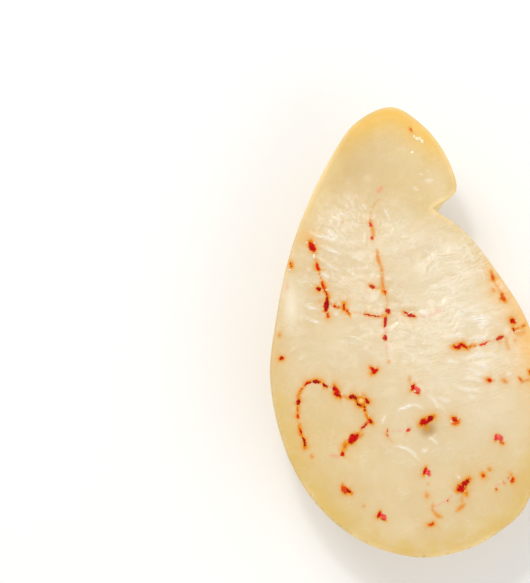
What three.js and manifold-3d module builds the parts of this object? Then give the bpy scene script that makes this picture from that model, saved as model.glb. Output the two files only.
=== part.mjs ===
// Half of a chili provola: a pear-shaped pulled-curd cheese with a folded-over head, cut lengthwise.
// It lies on its rind with the cut face up.
// Millimetres, +Z up, +Y to the head, +X to the notch side of the neck.
import * as THREE from "three";
import { ParametricGeometry } from "three/addons/geometries/ParametricGeometry.js";
import { mergeVertices } from "three/addons/utils/BufferGeometryUtils.js";
import Module from "manifold-3d";

const wasm = await Module();
wasm.setup();

// Driving sizes.
const CUT_HEIGHT = 53; // from the table to the cut face; the rind below it is pressed flat where it rests
const DEPTH_RATIO = 0.985; // depth of a section against half its width
const HEAD_DEPTH_RATIO = 0.96;
const GROOVE_DEPTH = 0.13; // share of the depth that the neck groove takes away at the back
const GROOVE_WIDTH = 0.17; // in rows of the body and of the head, each counted as one
const NOTCH_BITE = 5.2; // how much deeper the neck notch is at the cut face than behind it
const NOTCH_REACH = 4.5; // along the outline, either side of the neck
const NOTCH_TURN = 0.24; // radians round the section over which the bite dies out
const BELLY_SHIFT = 0.0016; // per millimetre: moves the deepest spot of the back towards the head
const FLAKE_THICKNESS = 1.3;
const FLAKE_PROUD = 0.45; // how far a chili flake stands out of the paste or the rind

// The outline of the cut face: from the neck down the right side, round the tail, up the left side,
// over the crown and back to the neck under the head's overhang.
const NECK = [15.4, 71.8];
const NAPE = [-40.9, 71.4];
const OUTLINE_POINTS = [
  NECK,
  [18.9, 66.4],
  [25.4, 60.2],
  [38.6, 42.6],
  [47.2, 28.4],
  [54.4, 6.0],
  [55.4, -16.0],
  [46.6, -48.2],
  [36.0, -58.0],
  [24.4, -64.4],
  [6.4, -68.0],
  [-11.6, -64.6],
  [-24.4, -58.0],
  [-38.0, -45.2],
  [-48.8, -26.0],
  [-55.2, 3.0],
  [-52.6, 28.4],
  [-48.0, 50.8],
  NAPE,
  [-30.6, 92.4],
  [-20.8, 106.2],
  [-6.2, 112.6],
  [7.0, 104.6],
  [15.8, 92.8],
  [19.9, 80.4],
  [18.6, 76.4],
  NECK,
];

// Rows along the cheese, closer together at its ends and at the neck.
// Steps go round the back and over the cut face.
const BODY_ROWS = 74;
const HEAD_ROWS = 26;
const BACK_STEPS = 20;
const FACE_STEPS = 18;
const ROW_EASE = 0.4;
const OUTLINE_SAMPLES = 1200;

// The cut face: ridges of pulled curd that arch across it, a hollow beside the neck, and a small pit.
const RIDGES = { x: 16, y: 20, width: 36, length: 44, height: 0.5, pitch: 7.5, arch: 0.0011 };
const PIT = { x: 9.2, y: -16.6, radius: 2.8, depth: 1.7 };
const HOLLOW = { x: -22, y: 88, radius: 11, depth: 0.8 };

// Chili seams of the cut face, each a line of flakes.
const SEAMS = [
  [[-38.8, 57.6], [-36.8, 51.6], [-34.0, 40.8], [-32.0, 34.8], [-32.4, 29.6]],
  [[-30.0, 32.0], [-25.6, 32.0], [-23.6, 29.6], [-18.0, 29.0], [-8.4, 29.6]],
  [[-15.2, 66.8], [-14.0, 59.6], [-10.4, 46.8], [-10.0, 40.0], [-8.0, 30.4], [-9.2, 22.0], [-7.8, 10.4]],
  [[-1.6, 29.6], [2.0, 28.4], [8.0, 28.8], [13.2, 30.8]],
  [[18.4, 16.0], [24.0, 15.8], [30.4, 17.6], [39.2, 21.6], [42.0, 26.0], [38.0, 36.0], [34.6, 45.0]],
  [[-41.2, -24.0], [-44.0, -12.0], [-43.6, -2.8], [-40.8, 1.2], [-36.0, 2.0]],
  [[-31.2, -0.4], [-28.4, -2.4], [-20.8, -4.6]],
  [[-16.8, -6.0], [-16.2, -12.6], [-18.8, -17.2], [-22.4, -21.2], [-26.8, -27.2]],
  [[22.0, -39.2], [17.8, -43.2], [13.2, -46.2], [9.8, -48.8], [9.2, -54.8]],
];
const SEAM_PITCH = 6.2;

// Chili flakes that lie alone on the cut face: x, y, length, turn in degrees. Then the one seed that shows.
const LONE_FLAKES = [
  [3.0, -1.2, 3.6, 30],
  [8.0, -13.0, 5.4, 38],
  [18.5, -13.5, 3.2, 60],
  [36.2, -20.8, 3.6, 15],
  [7.4, -34.0, 3.6, 70],
  [-24.8, -41.6, 4.2, 25],
  [-10.8, -51.6, 3.6, 140],
  [-13.2, 6.8, 3.2, 110],
  [-50.0, 11.3, 2.8, 80],
  [-46.2, 48.6, 2.6, 75],
  [0.0, -17.2, 3.2, 10],
  [41.0, -36.9, 3.2, 20],
  [44.4, 3.2, 3.0, 160],
];
const SEED = { x: -18.7, y: -5.3, radius: 1.7 };

// Chili flakes of the rind, spread over the back by the golden angle, clear of the spot it rests on.
const RIND_FLAKES = 28;
const HEAD_FLAKE_SHARE = 0.14;
const FOOT_CLEARANCE = 4;
const GOLDEN_TURN = Math.PI * (3 - Math.sqrt(5));

const outline = new THREE.CatmullRomCurve3(
  OUTLINE_POINTS.map(([x, y]) => new THREE.Vector3(x, y, 0)),
  false,
  "centripetal",
);
outline.arcLengthDivisions = OUTLINE_SAMPLES;
const spaced = outline.getSpacedPoints(OUTLINE_SAMPLES);
const shareAt = (score) => {
  const best = spaced.reduce((at, point, i) => (score(point) < score(spaced[at]) ? i : at), 0);
  return best / OUTLINE_SAMPLES;
};
const napePoint = new THREE.Vector3(...NAPE, 0);
const TAIL_SHARE = shareAt((p) => p.y);
const CROWN_SHARE = shareAt((p) => -p.y);
const NAPE_SHARE = shareAt((p) => p.distanceTo(napePoint));
const OUTLINE_LENGTH = outline.getLength();

const lerp = THREE.MathUtils.lerp;
const bell = (distance, reach) => Math.exp(-((distance / reach) ** 2));
const ease = (t) => t - (ROW_EASE * Math.sin(2 * Math.PI * t)) / (2 * Math.PI);

// One section of the cheese hangs under a chord of the outline.
// Rows run from 0 to 1 over the body and from 1 to 2 over the head.
function section(row) {
  const onBody = row <= 1;
  const t = ease(onBody ? row : row - 1);
  const rightShare = onBody ? lerp(TAIL_SHARE, 0, t) : lerp(1, CROWN_SHARE, t);
  const leftShare = onBody ? lerp(TAIL_SHARE, NAPE_SHARE, t) : lerp(NAPE_SHARE, CROWN_SHARE, t);
  const right = outline.getPointAt(rightShare);
  const left = outline.getPointAt(leftShare);
  const ratio = lerp(DEPTH_RATIO, HEAD_DEPTH_RATIO, THREE.MathUtils.smoothstep(row, 0.75, 1.1));
  const groove = 1 - GROOVE_DEPTH * bell(row - 1, GROOVE_WIDTH);
  const fromNeck = OUTLINE_LENGTH * Math.min(rightShare, 1 - rightShare);
  return {
    middle: left.clone().add(right).multiplyScalar(0.5),
    half: right.clone().sub(left).multiplyScalar(0.5),
    depth: (left.distanceTo(right) / 2) * ratio * groove * (1 + (BELLY_SHIFT * (left.y + right.y)) / 2),
    bite: NOTCH_BITE * bell(fromNeck, NOTCH_REACH),
  };
}

// A point of the rind: turn 0 is the right edge of the cut face, and half a turn is its left edge.
function rind(row, turn, target = new THREE.Vector3()) {
  const { middle, half, depth, bite } = section(row);
  const fromRight = Math.min(turn, 2 * Math.PI - turn);
  target.copy(half).multiplyScalar(Math.cos(turn)).add(middle);
  target.x -= bite * bell(fromRight, NOTCH_TURN);
  target.z = CUT_HEIGHT - depth * Math.sin(turn);
  return target;
}

// Height of the cut face above or below its plane.
function relief(x, y) {
  const wander = 1.4 * Math.sin(x / 17 + y / 29) + 0.9 * Math.sin(x / 9 - y / 13);
  const phase = (y + RIDGES.arch * x * x + wander) / RIDGES.pitch;
  const within = bell(Math.hypot((x - RIDGES.x) / RIDGES.width, (y - RIDGES.y) / RIDGES.length), 1);
  const ridges = RIDGES.height * within * Math.sin(2 * Math.PI * phase);
  const pit = PIT.depth * bell(Math.hypot(x - PIT.x, y - PIT.y), PIT.radius);
  const hollow = HOLLOW.depth * bell(Math.hypot(x - HOLLOW.x, y - HOLLOW.y), HOLLOW.radius);
  return ridges - pit - hollow;
}

// A closed solid from a three.js geometry, without the triangles that close up at a pole.
function solid(geometry) {
  geometry.deleteAttribute("normal");
  geometry.deleteAttribute("uv");
  const merged = mergeVertices(geometry, 1e-4);
  const triVerts = [];
  for (let i = 0; i < merged.index.count; i += 3) {
    const [a, b, c] = [0, 1, 2].map((k) => merged.index.getX(i + k));
    if (a !== b && b !== c && c !== a) triVerts.push(a, b, c);
  }
  const mesh = new wasm.Mesh({
    numProp: 3,
    vertProperties: new Float32Array(merged.attributes.position.array),
    triVerts: new Uint32Array(triVerts),
  });
  return new wasm.Manifold(mesh);
}

// A point of the cut face, from the left edge at 0 to the right edge at 1. The relief dies out at the edges.
function cutFace(row, across, target) {
  const { middle, half, bite } = section(row);
  target.copy(half).multiplyScalar(2 * across - 1).add(middle);
  target.x -= bite * across;
  target.z = CUT_HEIGHT + relief(target.x, target.y) * (1 - (2 * across - 1) ** 8);
  return target;
}

// The half cheese as one closed skin: round the back from right to left, then over the cut face to the right.
function halfCheese() {
  const bodyShare = BODY_ROWS / (BODY_ROWS + HEAD_ROWS);
  const backShare = BACK_STEPS / (BACK_STEPS + FACE_STEPS);
  const skin = (u, v, target) => {
    const row = v < bodyShare ? v / bodyShare : 1 + (v - bodyShare) / (1 - bodyShare);
    if (u <= backShare) {
      rind(Math.min(row, 2), (Math.PI * u) / backShare, target);
    } else {
      cutFace(Math.min(row, 2), (u - backShare) / (1 - backShare), target);
    }
  };
  return solid(new ParametricGeometry(skin, BACK_STEPS + FACE_STEPS, BODY_ROWS + HEAD_ROWS));
}

// What the table presses flat.
function belowTheFoot() {
  const block = new THREE.BoxGeometry(4 * CUT_HEIGHT, 4 * CUT_HEIGHT, CUT_HEIGHT);
  block.translate(0, 0, -CUT_HEIGHT / 2);
  return solid(block);
}

// A flake is a flattened, skewed shard of chili skin.
function flake(length, width, skew) {
  const shard = new THREE.IcosahedronGeometry(1, 0);
  shard.applyMatrix4(new THREE.Matrix4().makeShear(0, 0, skew, 0, 0, 0));
  shard.scale(length / 2, width / 2, FLAKE_THICKNESS / 2);
  return shard;
}

function cutFaceFlakes() {
  const solids = [];
  const place = (x, y, length, turn, seed) => {
    const shard = flake(length, length * (0.34 + 0.24 * seed), 0.7 * (seed - 0.5));
    shard.rotateZ(turn);
    shard.translate(x, y, CUT_HEIGHT + relief(x, y) + FLAKE_PROUD - FLAKE_THICKNESS / 2);
    solids.push(solid(shard));
  };
  SEAMS.forEach((points, seam) => {
    const line = new THREE.CatmullRomCurve3(points.map(([x, y]) => new THREE.Vector3(x, y, 0)));
    const count = Math.max(2, Math.round(line.getLength() / SEAM_PITCH));
    for (let i = 0; i <= count; i += 1) {
      const seed = THREE.MathUtils.seededRandom(101 * seam + i + 7);
      const at = line.getPointAt(i / count);
      const along = line.getTangentAt(i / count);
      place(at.x, at.y, 2.8 + 3.2 * seed, Math.atan2(along.y, along.x) + 0.5 * (seed - 0.5), seed);
    }
  });
  LONE_FLAKES.forEach(([x, y, length, degrees], i) => {
    const seed = THREE.MathUtils.seededRandom(911 + i);
    place(x, y, length, THREE.MathUtils.degToRad(degrees), seed);
  });
  const grain = new THREE.IcosahedronGeometry(1, 0);
  grain.scale(SEED.radius, SEED.radius, 0.9);
  grain.translate(SEED.x, SEED.y, CUT_HEIGHT + relief(SEED.x, SEED.y));
  solids.push(solid(grain));
  return solids;
}

function rindFlakes() {
  const up = new THREE.Vector3(0, 0, 1);
  const solids = [];
  for (let i = 0; i < RIND_FLAKES; i += 1) {
    const seed = THREE.MathUtils.seededRandom(311 + i);
    const share = (i + 0.5) / RIND_FLAKES;
    const overHead = (share - 1 + HEAD_FLAKE_SHARE) / HEAD_FLAKE_SHARE;
    const row = overHead > 0 ? 1.1 + 0.6 * overHead : 0.14 + 0.9 * share;
    const turn = 0.1 * Math.PI + 0.8 * Math.PI * (((i * GOLDEN_TURN) / (2 * Math.PI)) % 1);
    const at = rind(row, turn);
    const alongRow = rind(row + 0.01, turn).sub(at);
    const alongTurn = rind(row, turn + 0.01).sub(at);
    const outward = alongRow.cross(alongTurn).normalize();
    if (outward.dot(rind(row, turn).sub(section(row).middle.setZ(CUT_HEIGHT))) < 0) outward.negate();
    if (at.z < FOOT_CLEARANCE) continue;
    const shard = flake(3 + 3.4 * seed, 1.6 + 1.4 * seed, 0.7 * (seed - 0.5));
    shard.rotateZ(i * GOLDEN_TURN);
    shard.applyQuaternion(new THREE.Quaternion().setFromUnitVectors(up, outward));
    at.addScaledVector(outward, FLAKE_PROUD - FLAKE_THICKNESS / 2);
    shard.translate(at.x, at.y, at.z);
    solids.push(solid(shard));
  }
  return solids;
}

const resting = halfCheese().subtract(belowTheFoot());
const fused = wasm.Manifold.union([resting, ...cutFaceFlakes(), ...rindFlakes()]);
const made = fused.getMesh();
const geometry = new THREE.BufferGeometry();
geometry.setAttribute("position", new THREE.BufferAttribute(made.vertProperties, 3));
geometry.setIndex(new THREE.BufferAttribute(made.triVerts, 1));
geometry.computeVertexNormals();

const paste = new THREE.MeshStandardMaterial({ color: 0xebd9b2, roughness: 0.45, metalness: 0 });
const provolaHalf = new THREE.Mesh(geometry, paste);
provolaHalf.name = "provola_half";

const root = new THREE.Group();
root.add(provolaHalf);
export default root;
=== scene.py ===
"""Half of a chili provola: a pear-shaped pulled-curd cheese, cut lengthwise, lying with its cut face up."""

import math
from functools import partialmethod

import bpy
import numpy as np
from mathutils import Matrix, Vector


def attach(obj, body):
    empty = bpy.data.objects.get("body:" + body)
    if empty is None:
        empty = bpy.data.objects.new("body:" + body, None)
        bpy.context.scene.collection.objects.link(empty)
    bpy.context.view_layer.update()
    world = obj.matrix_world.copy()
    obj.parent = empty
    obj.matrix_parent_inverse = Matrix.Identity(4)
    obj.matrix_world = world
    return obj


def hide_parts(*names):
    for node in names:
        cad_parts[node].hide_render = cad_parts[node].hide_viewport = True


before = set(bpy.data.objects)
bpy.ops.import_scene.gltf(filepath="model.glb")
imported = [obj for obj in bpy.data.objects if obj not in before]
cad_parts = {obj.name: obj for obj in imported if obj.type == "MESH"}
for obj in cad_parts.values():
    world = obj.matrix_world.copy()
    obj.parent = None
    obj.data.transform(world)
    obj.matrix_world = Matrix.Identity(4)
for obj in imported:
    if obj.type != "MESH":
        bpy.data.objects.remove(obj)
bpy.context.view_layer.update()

MM = 0.001
FULL_TURN = 2 * math.pi
NODE = "provola_half"
BODY = "root"

# The form of the cheese, in millimetres, as the solid has it.
CUT_HEIGHT = 53.0
DEPTH_RATIO = 0.985
HEAD_DEPTH_RATIO = 0.96
NECK_ROWS = (0.75, 1.1)
GROOVE_DEPTH = 0.13
GROOVE_WIDTH = 0.17
NOTCH_BITE = 5.2
NOTCH_REACH = 4.5
NOTCH_TURN = 0.24
BELLY_SHIFT = 0.0016
ROW_EASE = 0.4
NECK = (15.4, 71.8)
NAPE = (-40.9, 71.4)
OUTLINE_POINTS = [
    NECK, (18.9, 66.4), (25.4, 60.2), (38.6, 42.6), (47.2, 28.4), (54.4, 6.0), (55.4, -16.0),
    (46.6, -48.2), (36.0, -58.0), (24.4, -64.4), (6.4, -68.0), (-11.6, -64.6), (-24.4, -58.0),
    (-38.0, -45.2), (-48.8, -26.0), (-55.2, 3.0), (-52.6, 28.4), (-48.0, 50.8), NAPE,
    (-30.6, 92.4), (-20.8, 106.2), (-6.2, 112.6), (7.0, 104.6), (15.8, 92.8), (19.9, 80.4),
    (18.6, 76.4), NECK,
]
OUTLINE_STEPS = 40

# Rows along the cheese and steps round it, for the fine mesh, and how far the crowding of rows is undone.
BODY_ROWS = 222
HEAD_ROWS = 74
BACK_STEPS = 128
FACE_STEPS = 204
BODY_SHARE = BODY_ROWS / (BODY_ROWS + HEAD_ROWS)
BACK_SHARE = BACK_STEPS / (BACK_STEPS + FACE_STEPS)
ROW_SPREAD = 0.8

# Slack in telling one step from the next, and how close in metres the points are that become one.
GRID_SLACK = 1e-4
WELD_DISTANCE = 2e-6

# The cut edge is softened this far in from the rim, this many times over.
SOFT_EDGE = 0.7
SOFT_ROUNDS = 2

# Tones of the chili: how orange it is, how far paste veils it, and how strongly its oil stains.
DARK = (0.0, 0.0, 1.0)
RED = (0.5, 0.0, 1.0)
SCARLET = (0.62, 0.0, 0.7)
RUST = (0.8, 0.0, 1.0)
PLUM = (0.0, 0.16, 0.6)
PINK = (0.6, 0.3, 0.7)
ROSE = (0.6, 0.62, 0.6)
FLAME = (0.9, 0.05, 0.8)
AMBER = (1.0, 0.0, 1.0)
HONEY = (1.0, 0.0, 0.5)
PEACH = (1.0, 0.0, 0.32)
BLUSH = (0.4, 1.0, 0.7)

# Tones of the curd lines: plain threads, and the white crests of creases.
PLAIN = (0.0, 0.0, 0.0)
WHITE = (0.0, 1.0, 0.0)

# Chili flakes of the cut face: tone, then x, y and width along each.
FLAKES = [
    (RED, [(-41.4, 0.5, 0.6), (-40.2, 1.5, 0.8), (-38.6, 1.9, 0.7)]),
    (DARK, [(-38.2, 2.0, 0.8), (-36.6, 2.1, 1.1), (-35.0, 1.8, 0.9)]),
    (DARK, [(-34.2, 1.2, 0.7), (-33.2, 0.5, 0.9), (-32.2, 0.1, 0.6)]),
    (RED, [(-29.7, 0.2, 0.9), (-29.0, -1.4, 1.7), (-28.2, -3.0, 1.6), (-26.9, -4.0, 0.8)]),
    (DARK, [(-24.0, -4.1, 0.7), (-22.2, -4.0, 1.3), (-20.4, -4.8, 1.2)]),
    (DARK, [(-20.6, -5.4, 0.8), (-19.9, -7.0, 0.8), (-18.2, -7.6, 0.7)]),
    (DARK, [(-17.0, -4.6, 0.7), (-16.2, -6.0, 1.1)]),
    (DARK, [(-17.4, -7.8, 0.6), (-17.4, -9.2, 0.7)]),
    (RED, [(-15.9, -12.6, 0.8), (-15.3, -13.5, 1.0), (-14.3, -14.5, 0.6)]),
    (PLUM, [(-15.9, -14.0, 0.9), (-17.6, -15.6, 0.9), (-18.6, -16.6, 0.8), (-18.9, -17.8, 0.6)]),
    (RED, [(-19.8, -19.0, 0.9), (-21.8, -20.6, 2.2), (-22.6, -21.4, 2.0), (-23.8, -22.4, 0.9)]),
    (RED, [(-26.2, -26.3, 0.8), (-26.3, -26.9, 1.0)]),
    (DARK, [(-42.3, -19.8, 0.5), (-41.7, -21.2, 0.9), (-41.4, -22.4, 0.7), (-41.2, -23.8, 1.2)]),
    (RED, [(-43.5, -15.8, 0.5), (-42.9, -18.0, 0.8), (-42.5, -19.4, 0.6)]),
    (DARK, [(-43.8, -4.8, 0.7), (-43.9, -6.2, 1.1), (-44.0, -7.2, 0.8)]),
    (RUST, [(-44.1, -11.0, 0.7), (-44.1, -12.6, 0.9)]),
    (RUST, [(-42.0, -0.2, 0.5), (-43.2, -1.8, 0.6), (-43.9, -3.6, 0.5)]),
    (RED, [(-44.0, -8.0, 0.5), (-44.1, -9.8, 0.5)]),
    (RED, [(-39.2, 58.0, 1.2), (-38.4, 56.2, 1.6), (-37.7, 54.6, 1.6)]),
    (RUST, [(-36.6, 50.0, 0.5), (-36.1, 48.0, 1.1), (-35.7, 46.7, 1.0)]),
    (RUST, [(-35.4, 45.2, 0.35), (-35.0, 43.6, 0.4)]),
    (RED, [(-33.4, 39.0, 0.5), (-32.7, 37.6, 0.6), (-32.2, 36.4, 0.6)]),
    (RUST, [(-34.7, 42.5, 0.6), (-34.0, 40.7, 0.9), (-33.1, 38.2, 0.7)]),
    (DARK, [(-32.1, 36.4, 0.7), (-32.5, 34.0, 1.2), (-32.8, 30.6, 1.4)]),
    (RUST, [(-32.2, 29.3, 0.6), (-32.0, 28.2, 0.7)]),
    (DARK, [(-35.8, 39.4, 1.1), (-35.6, 39.2, 1.1)]),
    (RED, [(-29.6, 32.5, 0.7), (-29.4, 32.2, 0.7)]),
    (RED, [(-25.6, 33.2, 0.9), (-25.7, 32.2, 0.8), (-25.5, 31.2, 1.0)]),
    (RUST, [(-24.6, 30.8, 0.6), (-23.4, 29.1, 0.7)]),
    (PLUM, [(-17.8, 29.2, 0.8), (-15.7, 28.9, 0.8), (-12.4, 28.2, 0.7), (-9.6, 28.4, 0.8)]),
    (PLUM, [(-15.2, 40.8, 0.9), (-14.2, 40.3, 1.3), (-13.0, 39.8, 0.7)]),
    (RUST, [(-10.0, 39.5, 0.6), (-9.6, 38.6, 0.8), (-8.9, 37.3, 0.6)]),
    (PLUM, [(-8.6, 31.0, 0.7), (-8.1, 30.4, 1.3), (-7.5, 29.6, 0.8)]),
    (PLUM, [(-8.4, 29.6, 0.8), (-9.0, 26.6, 1.0), (-9.2, 23.6, 0.8)]),
    (PLUM, [(-9.2, 20.8, 0.9), (-9.1, 19.4, 1.1), (-8.8, 18.4, 0.5)]),
    (PINK, [(-15.2, 66.0, 0.7), (-14.6, 64.6, 0.9)]),
    (PINK, [(-14.3, 60.6, 0.6), (-14.1, 59.5, 0.9)]),
    (PLUM, [(-1.7, 29.8, 0.9), (0.6, 28.8, 1.1), (3.4, 28.2, 0.8)]),
    (RED, [(18.3, 16.3, 0.8), (20.0, 15.9, 1.1), (21.6, 17.1, 0.8), (22.8, 16.2, 0.9),
        (24.0, 15.5, 0.6)]),
    (PINK, [(27.8, 16.8, 0.3), (29.8, 17.0, 0.7), (30.8, 17.4, 0.7), (32.0, 18.1, 0.5),
        (33.4, 18.6, 0.4)]),
    (PLUM, [(35.4, 18.8, 0.8), (37.0, 19.9, 1.0), (38.8, 20.4, 0.6)]),
    (FLAME, [(33.5, 46.2, 0.5), (33.9, 44.8, 0.7), (34.4, 43.3, 1.0)]),
    (FLAME, [(37.9, 37.7, 0.5), (38.1, 36.0, 1.1), (39.1, 34.6, 0.7)]),
    (RED, [(37.3, 35.4, 0.5), (38.2, 36.0, 0.6)]),
    (RED, [(41.7, 27.0, 1.0), (42.2, 26.3, 1.4), (42.9, 25.9, 0.7)]),
    (RED, [(42.3, 23.4, 0.7), (42.5, 22.7, 0.8)]),
    (SCARLET, [(2.5, 1.1, 0.6), (2.0, -0.2, 1.1), (1.5, -1.4, 0.8)]),
    (ROSE, [(2.9, 0.2, 0.7), (3.6, -0.9, 1.5), (4.7, -2.5, 0.9)]),
    (SCARLET, [(1.9, -1.6, 0.5), (3.2, -2.2, 0.5), (4.6, -3.0, 0.5)]),
    (DARK, [(10.2, -11.9, 0.9), (9.0, -12.5, 1.3), (7.6, -13.2, 1.8)]),
    (RED, [(7.8, -13.1, 1.7), (6.4, -14.0, 2.5), (5.2, -14.9, 1.1)]),
    (RED, [(18.0, -12.4, 0.8), (18.7, -13.0, 1.7), (19.3, -13.6, 1.0)]),
    (FLAME, [(17.8, -14.5, 0.6), (18.9, -14.7, 0.8), (20.0, -14.2, 0.7), (20.4, -13.2, 0.6)]),
    (SCARLET, [(7.1, -32.0, 0.6), (6.9, -33.4, 1.1), (6.1, -34.9, 0.9)]),
    (ROSE, [(7.3, -33.0, 0.6), (7.8, -34.1, 1.3), (8.7, -35.3, 0.8)]),
    (RUST, [(-26.4, -39.6, 0.6), (-25.7, -40.6, 1.6), (-24.9, -42.0, 1.3)]),
    (DARK, [(-25.2, -41.0, 1.1), (-24.0, -41.6, 1.1), (-22.7, -42.3, 0.6)]),
    (SCARLET, [(-11.3, -49.7, 0.6), (-11.5, -51.0, 1.3), (-12.1, -51.9, 0.9)]),
    (ROSE, [(-10.8, -50.6, 0.8), (-10.2, -51.6, 1.5), (-9.0, -53.0, 0.8)]),
    (SCARLET, [(-11.4, -52.2, 0.5), (-10.2, -52.8, 0.5), (-9.0, -53.3, 0.5)]),
    (DARK, [(24.2, -36.9, 0.9), (23.0, -38.1, 1.5), (22.0, -39.4, 1.6)]),
    (RED, [(22.4, -38.9, 1.5), (21.2, -40.1, 2.5), (19.8, -41.3, 1.1)]),
    (PINK, [(35.4, -18.9, 0.6), (35.3, -20.2, 1.1), (34.9, -21.4, 0.8)]),
    (ROSE, [(36.0, -19.6, 1.0), (36.8, -20.4, 1.7), (37.3, -21.2, 0.9)]),
    (FLAME, [(36.9, -21.8, 0.6), (37.9, -22.6, 0.7)]),
    (SCARLET, [(-15.1, 7.8, 0.8), (-14.2, 7.2, 1.0), (-13.5, 6.2, 1.3), (-12.8, 6.6, 1.1),
        (-12.0, 7.3, 0.7)]),
    (RED, [(-51.0, 11.2, 0.8), (-50.4, 11.5, 1.0)]),
    (RED, [(-46.9, 49.4, 0.6), (-46.6, 48.2, 0.7)]),
    (FLAME, [(32.0, 2.9, 0.9), (32.9, 2.7, 1.0)]),
    (RUST, [(29.9, -34.9, 0.8), (30.2, -35.5, 0.9)]),
    (RED, [(32.4, -32.8, 0.5), (32.6, -33.1, 0.5)]),
    (RUST, [(41.8, -36.4, 0.7), (41.6, -37.4, 1.1)]),
    (PINK, [(40.0, -36.5, 0.6), (40.3, -36.7, 0.6)]),
    (RUST, [(8.7, -55.0, 1.0), (9.5, -54.6, 1.0)]),
    (PINK, [(9.9, -47.2, 0.6), (9.7, -47.7, 0.6)]),
    (PINK, [(9.6, -48.8, 0.7), (9.7, -49.2, 0.7)]),
    (PINK, [(16.2, -44.6, 0.4), (15.7, -45.5, 0.6)]),
    (PINK, [(-0.8, -17.8, 0.6), (0.1, -17.1, 0.9), (0.9, -16.8, 0.5)]),
    (PINK, [(-8.3, -17.2, 0.6), (-8.2, -17.6, 0.6)]),
    (PINK, [(-8.5, -18.9, 0.7), (-8.3, -19.4, 0.7)]),
    (FLAME, [(44.4, 3.7, 0.5), (45.8, 2.4, 0.7)]),
    (RUST, [(48.7, 6.4, 0.6), (49.1, 5.4, 0.8)]),
    (FLAME, [(1.3, 103.9, 0.5), (1.7, 103.1, 0.4)]),
    (RED, [(35.1, -40.6, 0.4), (35.3, -40.9, 0.5)]),
    (RED, [(38.2, -38.1, 0.4), (38.5, -38.3, 0.4)]),
]

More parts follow.
